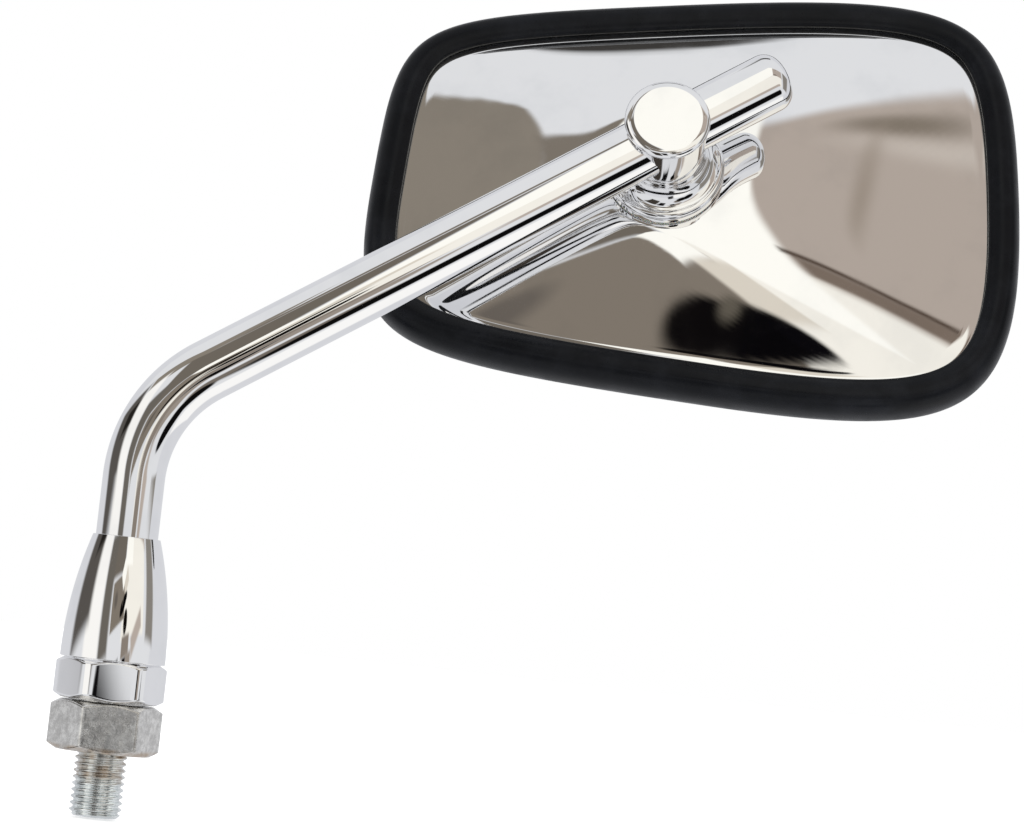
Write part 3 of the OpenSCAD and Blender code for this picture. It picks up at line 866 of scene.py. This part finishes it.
@dataclass
class BentBar:
    """The chrome bar: an upset foot in the ferrule, one bend, and a rounded free end."""

    bar_r: float = 6.0
    foot_r: float = 6.9
    foot_z: float = 18.1
    foot_h: float = 4.0
    tail: float = 27.2
    end_r: float = 3.6
    bend_steps: int = 56
    end_steps: int = 14

    def path(self) -> list[tuple[Vector, float]]:
        """Points along the bar's axis, each with the bar's radius there."""

        def upright(z: float) -> Vector:
            """A place on the Z axis."""
            return Vector((0, 0, z))

        foot = [(0.0, 0.01), (0.003, self.foot_r - 0.3), (0.1, self.foot_r - 0.1), (0.3, self.foot_r)]
        foot += [(self.foot_h - 0.05, self.foot_r), (self.foot_h + 0.85, self.bar_r + 0.05)]
        foot += [(self.foot_h + 0.95, self.bar_r)]
        points = [(upright(self.foot_z + z), r) for z, r in foot]
        low, bend = self.foot_z + self.foot_h + 2, LAYOUT.bend_z
        points += [(upright(low + (bend - 0.4 - low) * k / 8), self.bar_r) for k in range(9)]
        for k in range(self.bend_steps + 1):
            turn = radians(LAYOUT.bend_angle) * k / self.bend_steps
            out, rise = LAYOUT.bend_r * (1 - cos(turn)), LAYOUT.bend_r * sin(turn)
            points.append((Vector((out, 0, bend + rise)), self.bar_r))
        ahead = LAYOUT.at_bar()
        reach = LAYOUT.bar_reach + self.tail
        straight = reach - self.end_r
        points += [(ahead @ upright(0.4 + (straight - 0.5) * k / 28), self.bar_r) for k in range(29)]
        for k in range(self.end_steps + 1):
            turn = pi / 2 * k / self.end_steps
            along = straight + self.end_r * sin(turn)
            points.append((ahead @ upright(along), self.bar_r - self.end_r * (1 - cos(turn))))
        flat_r = self.bar_r - self.end_r
        points += [(ahead @ upright(reach + 0.002 * k), flat_r * (1 - k / 4)) for k in range(1, 4)]
        points.append((ahead @ upright(reach + 0.008), 0.01))
        return points

    def tube_tree(self, finish: Material) -> PieceTree:
        """A round section swept along the path, as thick as each point says."""
        tree = PieceTree("bent_bar")
        bar_r = tree.size("Bar radius", self.bar_r * MM)
        sides = tree.size("Sides", 144)
        curve = tree.add("GeometryNodeMeshToCurve", {0: tree.source.outputs[0]})
        girth = tree.add("GeometryNodeInputNamedAttribute", {"Name": "girth"}, data_type="FLOAT")
        circle = tree.add("GeometryNodeCurvePrimitiveCircle", {"Resolution": sides, "Radius": 1.0})
        sweep = {"Curve": curve.outputs[0], "Profile Curve": circle.outputs[0], "Fill Caps": True,
                 "Scale": tree.math("MULTIPLY", girth.outputs[0], bar_r)}
        tree.close(tree.add("GeometryNodeCurveToMesh", sweep).outputs[0], 3e-6, finish)
        return tree

    def build(self, palette: Palette) -> None:
        """Builds the bar along its path."""
        path = self.path()
        data = bpy.data.meshes.new("bar_path")
        data.from_pydata([point * MM for point, _ in path], [(k, k + 1) for k in range(len(path) - 1)], [])
        girth = data.attributes.new("girth", "FLOAT", "POINT")
        girth.data.foreach_set("value", [r / self.bar_r for _, r in path])
        bar = self.tube_tree(palette.bar).run("bent_bar", data)
        dress(bar, palette.bar, Body.ARM, Slot.CHROME, "stem")


# Post


@dataclass
class SwivelPost:
    """The post that the bar passes through, its cap, and the ring and washer that it turns on."""

    sides: int = 192
    post_top_r: float = 8.2
    post_waist_r: float = 7.8
    foot_r: float = 10.8
    foot_top: float = -12.05
    foot_bottom: float = -12.3
    flare_h: float = 5.0
    cap_seat: float = 6.2
    post_top: float = 7.15
    plug_r: float = 7.8
    cavity_r: float = 7.2
    cavity_bottom: float = -8.45
    shank_hole_r: float = 4.1
    bar_hole_r: float = 6.1
    drill_len: float = 30.0
    cap_r: float = 8.5
    cap_wall: float = 0.65
    cap_top: float = 7.9
    cap_inner: float = 7.2
    cap_edge: tuple[float, float] = (1.9, 1.4)
    cap_flat_r: float = 5.5
    ring_r: float = 12.1
    ring_top: float = -12.35
    ring_bottom: float = -14.75
    ring_edge: float = 1.6
    washer_r: float = 11.4
    washer_top: float = -14.8
    washer_bottom: float = -15.3

    def post_body(self) -> Piece:
        """The turned post with its cavity, before the bar's hole is cut."""
        spread = self.foot_r - self.post_waist_r
        flare = [
            (self.foot_r - spread * sin(a), self.foot_top + self.flare_h * (1 - cos(a)), 0.0)
            for a in (pi / 2 * k / 16 for k in range(1, 17))
        ]
        section = rounded([
            (self.shank_hole_r, self.foot_bottom, 0.1), (self.foot_r, self.foot_bottom, 0.06),
            (self.foot_r, self.foot_top, 0.06), *flare, (self.post_top_r, self.cap_seat, 0.06),
            (self.plug_r, self.cap_seat, 0.04), (self.plug_r, self.post_top, 0.1),
            (self.cavity_r, self.post_top, 0.1), (self.cavity_r, self.cavity_bottom, 0.2),
            (self.shank_hole_r, self.cavity_bottom, 0.1)], ring=True)
        return skin("post_uncut", lathe_rows(section, self.sides), LAYOUT.at_post(), ring=True)

    def cut_hole(self, body: Piece) -> Piece:
        """Cuts the bar's hole through the post and keeps the turned shading outside it.

        Args:
            body: the turned post, removed here.

        Returns:
            The post with its hole.
        """
        along_bar = LAYOUT.at_post() @ Matrix.Rotation(pi / 2, 4, "Y")
        half = self.drill_len / 2
        section = [(0.0, -half), (self.bar_hole_r, -half), (self.bar_hole_r, half), (0.0, half)]
        drill = skin("post_drill", lathe_rows(section, 128), along_bar)
        post = add_object("swivel_post_turned", body.data.copy())
        hole = post.modifiers.new("hole", "BOOLEAN")
        hole.operation, hole.solver, hole.object = "DIFFERENCE", "EXACT", drill
        settle(post)
        self.shade_hole(post)
        keep = post.modifiers.new("shading", "DATA_TRANSFER")
        keep.object, keep.use_loop_data, keep.data_types_loops = body, True, {"CUSTOM_NORMAL"}
        keep.loop_mapping, keep.vertex_group = "POLYINTERP_NEAREST", "outside"
        settle(post)
        bpy.data.objects.remove(drill)
        bpy.data.objects.remove(body)
        return post

    def shade_hole(self, post: Piece) -> None:
        """Marks the hole's rim sharp and gathers the points that lie outside the hole."""
        axis = LAYOUT.at_post()
        start, along = axis.translation * MM, axis.to_3x3() @ Vector((1, 0, 0))
        mesh = bmesh.new()
        mesh.from_mesh(post.data)
        bmesh.ops.remove_doubles(mesh, verts=mesh.verts, dist=1e-7)
        bmesh.ops.recalc_face_normals(mesh, faces=mesh.faces)

        def on_wall(vertex: bmesh.types.BMVert) -> bool:
            """Whether a point lies on the hole's wall."""
            spoke = vertex.co - start
            off_axis = (spoke - along * spoke.dot(along)).length
            return abs(off_axis - self.bar_hole_r * MM) < WALL_SLACK

        inside = {
            face for face in mesh.faces
            if all(on_wall(v) for v in face.verts) and abs(face.normal.dot(along)) < LEVEL_SLACK
        }
        for edge in mesh.edges:
            if len({face in inside for face in edge.link_faces}) == 2:
                edge.smooth = False
        outer = [v.index for v in mesh.verts if not all(face in inside for face in v.link_faces)]
        mesh.to_mesh(post.data)
        mesh.free()
        post.vertex_groups.new(name="outside").add(outer, 1.0, "REPLACE")

    def build(self, palette: Palette) -> None:
        """Builds the post, its cap, the seat ring and the slip washer."""
        post = self.cut_hole(self.post_body())
        dress(post, palette.turned, Body.POST, Slot.CHROME, "swivel_post")
        low = self.cap_seat + 0.05
        edge_w, edge_h = self.cap_edge
        edge = [
            (self.cap_r - edge_w * (1 - cos(a)), self.cap_top - edge_h * (1 - sin(a)), 0.0)
            for a in (pi / 2 * k / 20 for k in range(21))
        ]
        cap_section = rounded([
            (0.0, self.cap_inner, 0), (self.cap_r - self.cap_wall, self.cap_inner, 0.2),
            (self.cap_r - self.cap_wall, low, 0.1), (self.cap_r, low, 0.1),
            *edge, (self.cap_flat_r, self.cap_top, 0), (0.0, self.cap_top, 0)], steps=12)
        cap = skin("post_cap_turned", lathe_rows(cap_section, self.sides), LAYOUT.at_post())
        dress(cap, palette.turned, Body.POST, Slot.CHROME, "post_cap")
        hole_r = self.shank_hole_r
        ring_section = rounded([
            (hole_r, self.ring_bottom, 0.1), (self.ring_r, self.ring_bottom, 0.12),
            (self.ring_r, self.ring_top, self.ring_edge), (hole_r, self.ring_top, 0.1)], ring=True, steps=12)
        ring = skin("seat_ring_turned", lathe_rows(ring_section, self.sides), LAYOUT.at_post(), ring=True)
        dress(ring, palette.turned, Body.POST, Slot.CHROME, "seat_ring")
        washer_section = rounded([
            (hole_r, self.washer_bottom, 0.05), (self.washer_r, self.washer_bottom, 0.08),
            (self.washer_r, self.washer_top, 0.08), (hole_r, self.washer_top, 0.05)], ring=True, steps=3)
        washer = skin("slip_washer_moulded", lathe_rows(washer_section, 96), LAYOUT.at_post(), ring=True)
        dress(washer, palette.nylon, Body.HEAD, Slot.NYLON, "slip_washer")


# Head


@dataclass
class HeadOutline:
    """Outline of the head: four sides given by a point and a direction, joined by full corners."""

    points: tuple[FlatPoint, ...] = ((5.0, 43.0), (-59.0, 8.0), (5.0, -46.1), (73.0, 0.0))
    angles: tuple[float, ...] = (180.0, 259.0, -12.0, 87.0)
    fullness: tuple[float, ...] = (0.985, 0.955, 0.865, 0.89)
    steps: int = 84
    places: list[Vector] = field(init=False)
    normals: list[Vector] = field(init=False)

    def __post_init__(self) -> None:
        """Works out the places and outward directions along the outline."""
        self.places, self.normals = [], []
        for side in range(4):
            a, b, c, d = self.controls(side)
            for k in range(self.steps):
                t = k / self.steps
                s = 1 - t
                slope = s * s * (b - a) + 2 * s * t * (c - b) + t * t * (d - c)
                slope.normalize()
                self.places.append(s ** 3 * a + 3 * s * s * t * b + 3 * s * t * t * c + t ** 3 * d)
                self.normals.append(Vector((slope.y, -slope.x)))

    def controls(self, side: int) -> list[Vector]:
        """The four control points of one corner's curve."""
        here, there = Vector(self.points[side]), Vector(self.points[(side + 1) % 4])
        a, b = (radians(self.angles[(side + i) % 4]) for i in (0, 1))
        ahead, behind = Vector((cos(a), sin(a))), Vector((cos(b), sin(b)))
        gap = there - here
        corner = here + ahead * (gap.cross(behind) / ahead.cross(behind))
        full = self.fullness[side]
        return [here, here + full * (corner - here), there + full * (corner - there), there]

    def inset(self, distance: float, height: float) -> Row:
        """The outline moved inwards, at a height."""
        return [Vector((*(p - distance * n), height)) for p, n in zip(self.places, self.normals)]


@dataclass
class MirrorHead:
    """The pressed chrome shell, the mirror glass and the rubber rim that holds it."""

    outline: HeadOutline = field(default_factory=HeadOutline)
    boss_r: float = 12.7
    boss_h: float = 11.7
    hole_r: float = 4.6
    wall: float = 0.8
    flange_h: float = 3.1
    band_h: float = 0.45
    rim_w: float = 6.6
    band_w: float = 1.7
    band: tuple[FlatPoint, ...] = (
        (0.15, 0.05), (0.35, 0.11), (0.6, 0.19), (0.9, 0.27), (1.2, 0.34), (1.5, 0.39), (1.8, 0.42))
    skirt_in: float = 3.7
    skirt_low: float = -0.5
    fillet: float = 1.1
    crown_low: float = 1.06
    crown_high: float = 1.36
    spread: float = 0.35
    boss_ease: float = 0.03
    glass_low: float = -4.4
    glass_high: float = -2.2
    fullness: float = 2.3
    rim_back: float = 5.2
    rim_front: float = 5.8
    rim_wall: float = 3.6
    rim_front_in: float = 4.0
    front_w: float = 7.2
    lip_low: float = 3.2
    lip_t: float = 0.5
    lip_round: float = 0.8
    front_lip_top: float = -4.5

    def boss_ways(self) -> list[Vector]:
        """Direction on the boss that each place on the outline runs up to."""
        spread, sides = self.spread, zip(self.outline.places, self.outline.normals)
        return [((1 - spread) * normal + spread * place.normalized()).normalized() for place, normal in sides]

    def panel_row(self, share: float, drop: float, ways: Sequence[Vector]) -> Row:
        """A row on the pressed panels.

        Args:
            share: 0 at the boss, 1 at the border band.
            drop: distance below the outer face.
            ways: directions on the boss.

        Returns:
            The row of points.
        """
        low = self.flange_h + self.band_h
        rim = self.outline.inset(self.rim_w + self.band_w, 0)
        eased = (hypot(share, self.boss_ease) - self.boss_ease) / (hypot(1, self.boss_ease) - self.boss_ease)
        row = []
        for way, edge in zip(ways, rim):
            up = (1 + way.y) / 2
            crown = self.crown_low + (self.crown_high - self.crown_low) * up * up * (3 - 2 * up)
            start = way * self.boss_r
            flat = start + share * (edge.to_2d() - start)
            height = low + (self.boss_h - low) * (1 - eased ** crown)
            row.append(Vector((flat.x, flat.y, height - drop)))
        return row

    def shell(self) -> Piece:
        """The pressed shell with its wall, as one closed skin."""
        ways = self.boss_ways()
        shares = [0.0, 0.01, 0.02, 0.035, 0.05, 0.07, 0.1, 0.14]
        shares += [0.14 + 0.82 * k / 22 for k in range(1, 23)] + [0.98, 1.0]
        inset, flange, fillet = self.outline.inset, self.flange_h, self.fillet

        def level(r: float, z: float) -> Row:
            """A circle on the boss."""
            return [Vector((r * way.x, r * way.y, z)) for way in ways]

        band_low = flange + self.band_h
        outside = [level(r, self.boss_h) for r in (self.hole_r, 8, 11, 12.3, 12.6)]
        outside += [self.panel_row(s, 0, ways) for s in shares]
        outside += [inset(self.rim_w + self.band_w - i, band_low - d) for i, d in self.band]
        outside += [inset(self.skirt_in + fillet + 0.4, flange)]
        for a in (pi / 2 * k / 6 for k in range(7)):
            outside.append(inset(self.skirt_in + fillet * (1 - sin(a)), flange - fillet * (1 - cos(a))))
        outside += [inset(self.skirt_in, self.skirt_low)]
        inner = self.skirt_in + self.wall
        inside = [inset(inner, self.skirt_low), inset(inner, flange - fillet - 0.3)]
        inside += [inset(inner + 0.6, flange - self.wall), inset(self.rim_w + 0.9, flange - self.wall + 0.1)]
        inside += [self.panel_row(s, self.wall, ways) for s in (1.0, 0.86, 0.7, 0.5, 0.3, 0.14, 0.05, 0.0)]
        inside += [level(r, self.boss_h - self.wall) for r in (12, 8, self.hole_r)]
        return skin("pressed_shell", outside + inside, LAYOUT.at_head(), ring=True)

    def round_quarter(self, crest_in: float, height: float, turns: Sequence[float]) -> list[FlatPoint]:
        """A quarter of the rim's round, as inset and height."""
        power = 2 / self.fullness
        return [(crest_in * (1 - sin(a) ** power), height * cos(a) ** power) for a in turns]

    def back_lip(self) -> list[FlatPoint]:
        """The lip on the shell, from its edge up to the rim's crest, as inset and height."""
        top = self.lip_low + self.lip_t
        start_in, start_z = self.rim_w - self.lip_round * 0.9, top + self.lip_round
        lip = [
            (self.rim_w - self.lip_round * (1 - cos(a)) * 0.9, top + self.lip_round * sin(a))
            for a in (pi / 2 * k / 5 for k in range(6))
        ]
        run, climb = start_in - self.rim_wall, self.rim_back - start_z
        rise = [
            (start_in - s * run, start_z + climb * (1 - (1 - s) ** 2))
            for s in (0.15, 0.3, 0.45, 0.6, 0.75, 0.9)
        ]
        return lip + rise

    def front_lip(self) -> list[FlatPoint]:
        """The lip over the glass, from the rim's lowest line to its edge, as inset and height."""
        edge, low = self.front_w, -self.rim_front
        nose = [(edge - i, low + z) for i, z in ((1.0, 0.05), (0.5, 0.25), (0.15, 0.6), (0.0, 0.95))]
        return [(self.rim_front_in, low)] + nose + [(edge, self.front_lip_top - 0.05)]

    def groove(self) -> list[FlatPoint]:
        """The groove that holds the glass and the shell's flange, as inset and height."""
        top, low, wall, edge = self.front_lip_top, self.lip_low, self.rim_wall, self.rim_w
        under = [(self.front_w - 0.05, top), (wall + 0.1, top), (wall, top + 0.1)]
        return under + [(wall, low - 0.1), (wall + 0.1, low), (edge - 0.05, low), (edge, low + 0.05)]

    def rubber(self) -> Piece:
        """The rubber rim: round outside, with a lip on each side."""
        turns = [radians(a) for a in (0, 5, 11, 18, 25, 32, 39, 46, 53, 60, 67, 74, 80, 85)]
        section = self.back_lip() + self.round_quarter(self.rim_wall, self.rim_back, turns)
        section += self.round_quarter(self.rim_front_in, -self.rim_front, [pi / 2 - a for a in turns])
        section += self.front_lip() + self.groove()
        rows = [self.outline.inset(i, z) for i, z in section]
        return skin("rubber_rim_moulded", rows, LAYOUT.at_head(), ring=True)

    def glass(self) -> Piece:
        """The glass, with its edges ground."""
        inset, edge = self.outline.inset, self.skirt_in
        middle = Vector((6, -1, 0))
        shares = (0, 0.25, 0.5, 0.75, 0.93)

        def face(share: float, height: float) -> Row:
            """The outline drawn in towards the middle."""
            return [middle + share * (p - middle) + Vector((0, 0, height)) for p in inset(edge + 0.3, 0)]

        def ground(height: float, way: int) -> list[Row]:
            """The ground edge at one face, from the face to the side."""
            return [inset(edge + i, height + way * z) for i, z in ((0.3, 0.0), (0.1, 0.06), (0.0, 0.25))]

        rows = [face(s, self.glass_low) for s in shares] + ground(self.glass_low, 1)
        rows += ground(self.glass_high, -1)[::-1] + [face(s, self.glass_high) for s in reversed(shares)]
        return skin("mirror_glass_ground", rows, LAYOUT.at_head())

    def build(self, palette: Palette) -> None:
        """Builds the shell, the glass and the rim."""
        dress(self.shell(), palette.pressed, Body.HEAD, Slot.CHROME, "shell")
        dress(self.glass(), palette.glass, Body.HEAD, Slot.GLASS, "mirror_glass")
        dress(self.rubber(), palette.rubber, Body.HEAD, Slot.RUBBER, "rubber_rim")


# Hidden hardware


@dataclass(frozen=True)
class HiddenHardware:
    """CAD nodes that keep their own shape and get their finish here."""

    steel: tuple[str, ...] = ("clamp_eye", "backing_plate", "disc_springs", "plain_washer", "lock_nut")
    nylon: tuple[str, ...] = ("thrust_washer", "stem_bush", "inner_washer", "nut_ring")
    foam: tuple[str, ...] = ("glass_pad",)

    def build(self, palette: Palette) -> None:
        """Gives each node its material."""
        for kind in ("steel", "nylon", "foam"):
            finish = getattr(palette, kind)
            for name in getattr(self, kind):
                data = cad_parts[name].data
                data.materials.clear()
                data.materials.append(finish)
                log.info("%s: finished as %s", name, finish.name)


# Studio


@dataclass(frozen=True)
class Patch:
    """A soft-edged panel of light or dark that the chrome mirrors.

    It lies on a flat map of all directions round the head: X is degrees from the head's back
    towards its long side, Y degrees towards its upper edge.

    Attributes:
        x: place of its middle along X.
        y: place of its middle along Y.
        half_w: half its width.
        half_h: half its height.
        turn: turn on the map, anticlockwise, in degrees.
        soft: width of its soft edge, in degrees.
        colour: what it shines with, as 0 to 255 on the screen.
        oval: whether it is an oval and not a rectangle.
    """

    x: float
    y: float
    half_w: float
    half_h: float
    turn: float
    soft: float
    colour: Colour
    oval: bool = False

    def mask(self, x: np.ndarray, y: np.ndarray) -> np.ndarray:
        """How far each place on the map lies inside the panel, 0 to 1."""
        c, s = cos(radians(self.turn)), sin(radians(self.turn))
        along = (x - self.x) * c + (y - self.y) * s
        across = (y - self.y) * c - (x - self.x) * s
        if self.oval:
            reach = np.hypot(along / self.half_w, across / self.half_h)
            inside = (1.0 - reach) * min(self.half_w, self.half_h)
        else:
            inside = np.minimum(self.half_w - np.abs(along), self.half_h - np.abs(across))
        share = np.clip(inside / self.soft + 0.5, 0.0, 1.0)
        return share * share * (3.0 - 2.0 * share)


def screen(colour: Colour) -> np.ndarray:
    """A colour given as 0 to 255 on the screen, as light. Above 255 it is brighter than white."""
    return np.array([((c / 255 + 0.055) / 1.055) ** 2.4 if c > 10 else c / 255 / 12.92 for c in colour])


# The panels of the room, each in front of those above it
ROOM = (
    Patch(-42, 33, 19.5, 8, 0, 1.5, (138, 130, 119)),
    Patch(-27.3, 34.5, 4.5, 6.5, 0, 1.5, (138, 130, 119), True),
    Patch(-12, 32, 11, 3.2, 10, 1.5, (126, 118, 108)),
    Patch(-16, 9, 13.5, 18, 0, 3, (112, 105, 96)),
    Patch(-34, -12, 8, 19, 0, 5, (108, 103, 96)),
    Patch(-56, 0, 13, 30, 0, 5, (256, 254, 250)),
    Patch(-80, 14, 15, 26, 0, 8, (88, 84, 80)),
    Patch(-72, 20, 7, 8, 0, 5, (36, 33, 30)),
    Patch(78, 2, 13, 34, 0, 6, (138, 133, 126)),
    Patch(38, 18, 21, 15, 0, 3.5, (180, 168, 158)),
    Patch(32.5, 28.9, 4.4, 1.2, -6, 1.8, (132, 122, 110), True),
    Patch(36, 26.3, 6, 0.8, -6, 1.6, (198, 188, 178), True),
    Patch(29.3, 22.6, 0.6, 4.5, -18, 1.3, (158, 146, 134), True),
    Patch(28, -13, 28, 18, 0, 3, (250, 246, 236)),
    Patch(8.6, 14, 9.8, 21, 0, 1.5, (262, 260, 252)),
    Patch(27, 7.4, 8, 1.5, 3, 1.2, (124, 110, 99)),
    Patch(25, 9.2, 7, 0.45, 2, 0.9, (78, 64, 54)),
    Patch(-10, -17.5, 13.5, 7.6, 3, 1.0, (130, 121, 110)),
    Patch(4.5, -12.5, 4.5, 3.2, 40, 1.5, (222, 214, 200)),
    Patch(-2.6, -9.6, 3.9, 3.9, 45, 0.8, (262, 260, 252)),
    Patch(-16.5, -16.5, 3, 2.5, 0, 2.5, (104, 97, 90), True),
    Patch(1.2, -19.4, 7.2, 2.4, 26, 0.8, (8, 7, 9), True),
    Patch(-3.5, -20.6, 3.2, 1.8, 40, 0.7, (12, 10, 11), True),
    Patch(5.5, -17.6, 2.6, 1.2, 15, 0.6, (10, 9, 12), True),
    Patch(-0.8, -18.2, 2.2, 0.5, 50, 0.5, (96, 90, 80), True),
    Patch(11, -33.5, 8, 3.5, 0, 2, (140, 130, 120)),
    Patch(8, -25.6, 4.2, 4.2, 0, 1.0, (14, 10, 8), True),
    Patch(-24, -54, 10, 17, 0, 3, (62, 57, 52)),
    Patch(-80, -58, 16, 14, 0, 5, (60, 55, 50)),
    Patch(15, -92, 9, 7, 0, 2, (12, 11, 12)),
    Patch(-6.5, -48, 5, 12, 5, 2, (14, 13, 14)),
    Patch(37, -30, 13, 4, 25, 3, (186, 174, 164)),
    Patch(24, -60, 8, 8, 0, 4, (118, 110, 102), True),
    Patch(36, -62, 13.5, 10, 40, 3, (13, 12, 12), True),
    Patch(48.5, -54, 13, 11, 20, 2.5, (12, 11, 12), True),
    Patch(8, 85.5, 20, 4.5, 0, 1.5, (62, 60, 58)),
    Patch(19, -41, 6, 5, 0, 3, (156, 146, 136)),
    Patch(10, -42, 3.5, 5, 0, 1, (10, 8, 8)),
    Patch(57, -92, 30, 20, 27, 6, (256, 255, 253)),
)


@dataclass(frozen=True)
class Studio:
    """Floor, surroundings, lights and the camera at the photograph's viewing angle."""

    camera_place: Triple = (-0.0740166, -0.7596663, 0.031828)
    camera_right: Triple = (0.97464, -0.194167, 0.111245)
    camera_up: Triple = (-0.119475, -0.031168, 0.992348)
    camera_back: Triple = (-0.189214, -0.980473, -0.053576)
    lens: float = 138.4076
    floor_z: float = -0.0128
    room: tuple[Patch, ...] = ROOM
    room_r: float = 0.4
    room_sides: int = 540
    room_place: Triple = (0.1008, 0.014, 0.1279)
    far_light: Colour = (228, 229, 231)
    table_light: Colour = (218, 219, 223)

    def camera(self) -> None:
        """Adds the camera."""
        data = bpy.data.cameras.new("camera")
        data.lens, data.sensor_width, data.sensor_fit = self.lens, 36.0, "HORIZONTAL"
        data.clip_start, data.clip_end = 0.01, 50.0
        camera = bpy.data.objects.new("camera", data)
        axes = Matrix((self.camera_right, self.camera_up, self.camera_back)).transposed().to_4x4()
        camera.matrix_world = Matrix.Translation(self.camera_place) @ axes
        bpy.context.scene.collection.objects.link(camera)
        bpy.context.scene.camera = camera

    def world(self) -> None:
        """Even white light from all round."""
        world = bpy.data.worlds.new("studio")
        world.use_nodes = True
        background = world.node_tree.nodes["Background"]
        background.inputs["Color"].default_value = (1.0, 1.0, 1.0, 1.0)
        background.inputs["Strength"].default_value = 1.0
        bpy.context.scene.world = world

    def glow(self, x: np.ndarray, y: np.ndarray) -> np.ndarray:
        """Light that comes from each place on the map of directions."""
        away = np.clip((np.hypot(x, y) - 90.0) / 6.0, 0.0, 1.0)[:, None]
        light = screen(self.far_light) * (1 - away) + screen(self.table_light) * away
        for patch in self.room:
            share = patch.mask(x, y)[:, None]
            light = light * (1 - share) + screen(patch.colour) * share
        return light

    def dome(self) -> bpy.types.Mesh:
        """The dome, painted with the panels of light and dark: finest where the head's back faces."""
        around = self.room_sides
        fine, middling, coarse = np.arange(0.1, 46, 0.45), np.arange(46, 120, 1.2), np.arange(120, 180, 4.0)
        angles = np.radians(np.concatenate((fine, middling, coarse, [179.9])))
        spin = np.arange(around) * TURN / around
        rise, turn = (part.ravel() for part in np.meshgrid(angles, spin, indexing="ij"))
        ways = np.stack((np.sin(rise) * np.cos(turn), np.sin(rise) * np.sin(turn), np.cos(rise)), axis=1)
        points = ways @ np.array(LAYOUT.at_head().to_3x3()).T * self.room_r + np.array(self.room_place)
        steps = range(around)
        faces = [
            (row + a, row + (a + 1) % around, row + around + (a + 1) % around, row + around + a)
            for row in range(0, (len(angles) - 1) * around, around)
            for a in steps
        ]
        data = bpy.data.meshes.new("studio_room")
        data.from_pydata(points.tolist(), [], faces)
        light = self.glow(np.degrees(rise) * np.cos(turn), np.degrees(rise) * np.sin(turn))
        paint = data.attributes.new("glow", "FLOAT_COLOR", "POINT")
        paint.data.foreach_set("color", np.concatenate((light, np.ones((len(light), 1))), axis=1).ravel())
        return data

    def surroundings(self) -> None:
        """Puts the dome round the object, where only mirrored rays see it."""
        finish = bpy.data.materials.new("studio_glow")
        finish.use_nodes = True
        finish.cycles.emission_sampling = "NONE"
        sketch, nodes = Sketch(finish.node_tree), finish.node_tree.nodes
        nodes.remove(nodes["Principled BSDF"])
        paint = sketch.add("ShaderNodeAttribute", attribute_name="glow").outputs["Color"]
        shine = sketch.add("ShaderNodeEmission", {"Color": paint})
        sketch.put(nodes["Material Output"].inputs["Surface"], shine.outputs["Emission"])
        room = add_object("studio_room", self.dome())
        room.data.materials.append(finish)
        room.visible_camera = room.visible_diffuse = room.visible_shadow = False
        room.visible_transmission = room.visible_volume_scatter = False

    def floor(self) -> None:
        """A plain pale floor just under the stud, which the chrome doesn't mirror."""
        bpy.ops.mesh.primitive_plane_add(size=6.0, location=(0, 0, self.floor_z))
        floor = bpy.context.object
        floor.name = "studio_floor"
        floor.visible_glossy = False
        finish = Finish("studio_paper", 0.9)
        finish.tones(finish.noise(4, 2), (0.93, 0.93, 0.93), (0.96, 0.96, 0.96))
        finish.set("Emission Color", (1, 1, 1, 1))
        finish.set("Emission Strength", 0.4)
        floor.data.materials.append(finish.material)

    def build(self) -> None:
        """Sets up the whole studio."""
        bpy.context.scene.view_settings.view_transform = "Standard"
        self.camera()
        self.world()
        self.surroundings()
        self.floor()


def main() -> None:
    """Builds and dresses each sub-assembly, then the studio."""
    logging.basicConfig(level=logging.INFO, format="%(name)s %(message)s")
    palette = Palette()
    for part in (StudAdapter(), ClampFerrule(), BentBar(), SwivelPost(), MirrorHead(), HiddenHardware()):
        part.build(palette)
    Studio().build()


if __name__ == "__main__":
    main()
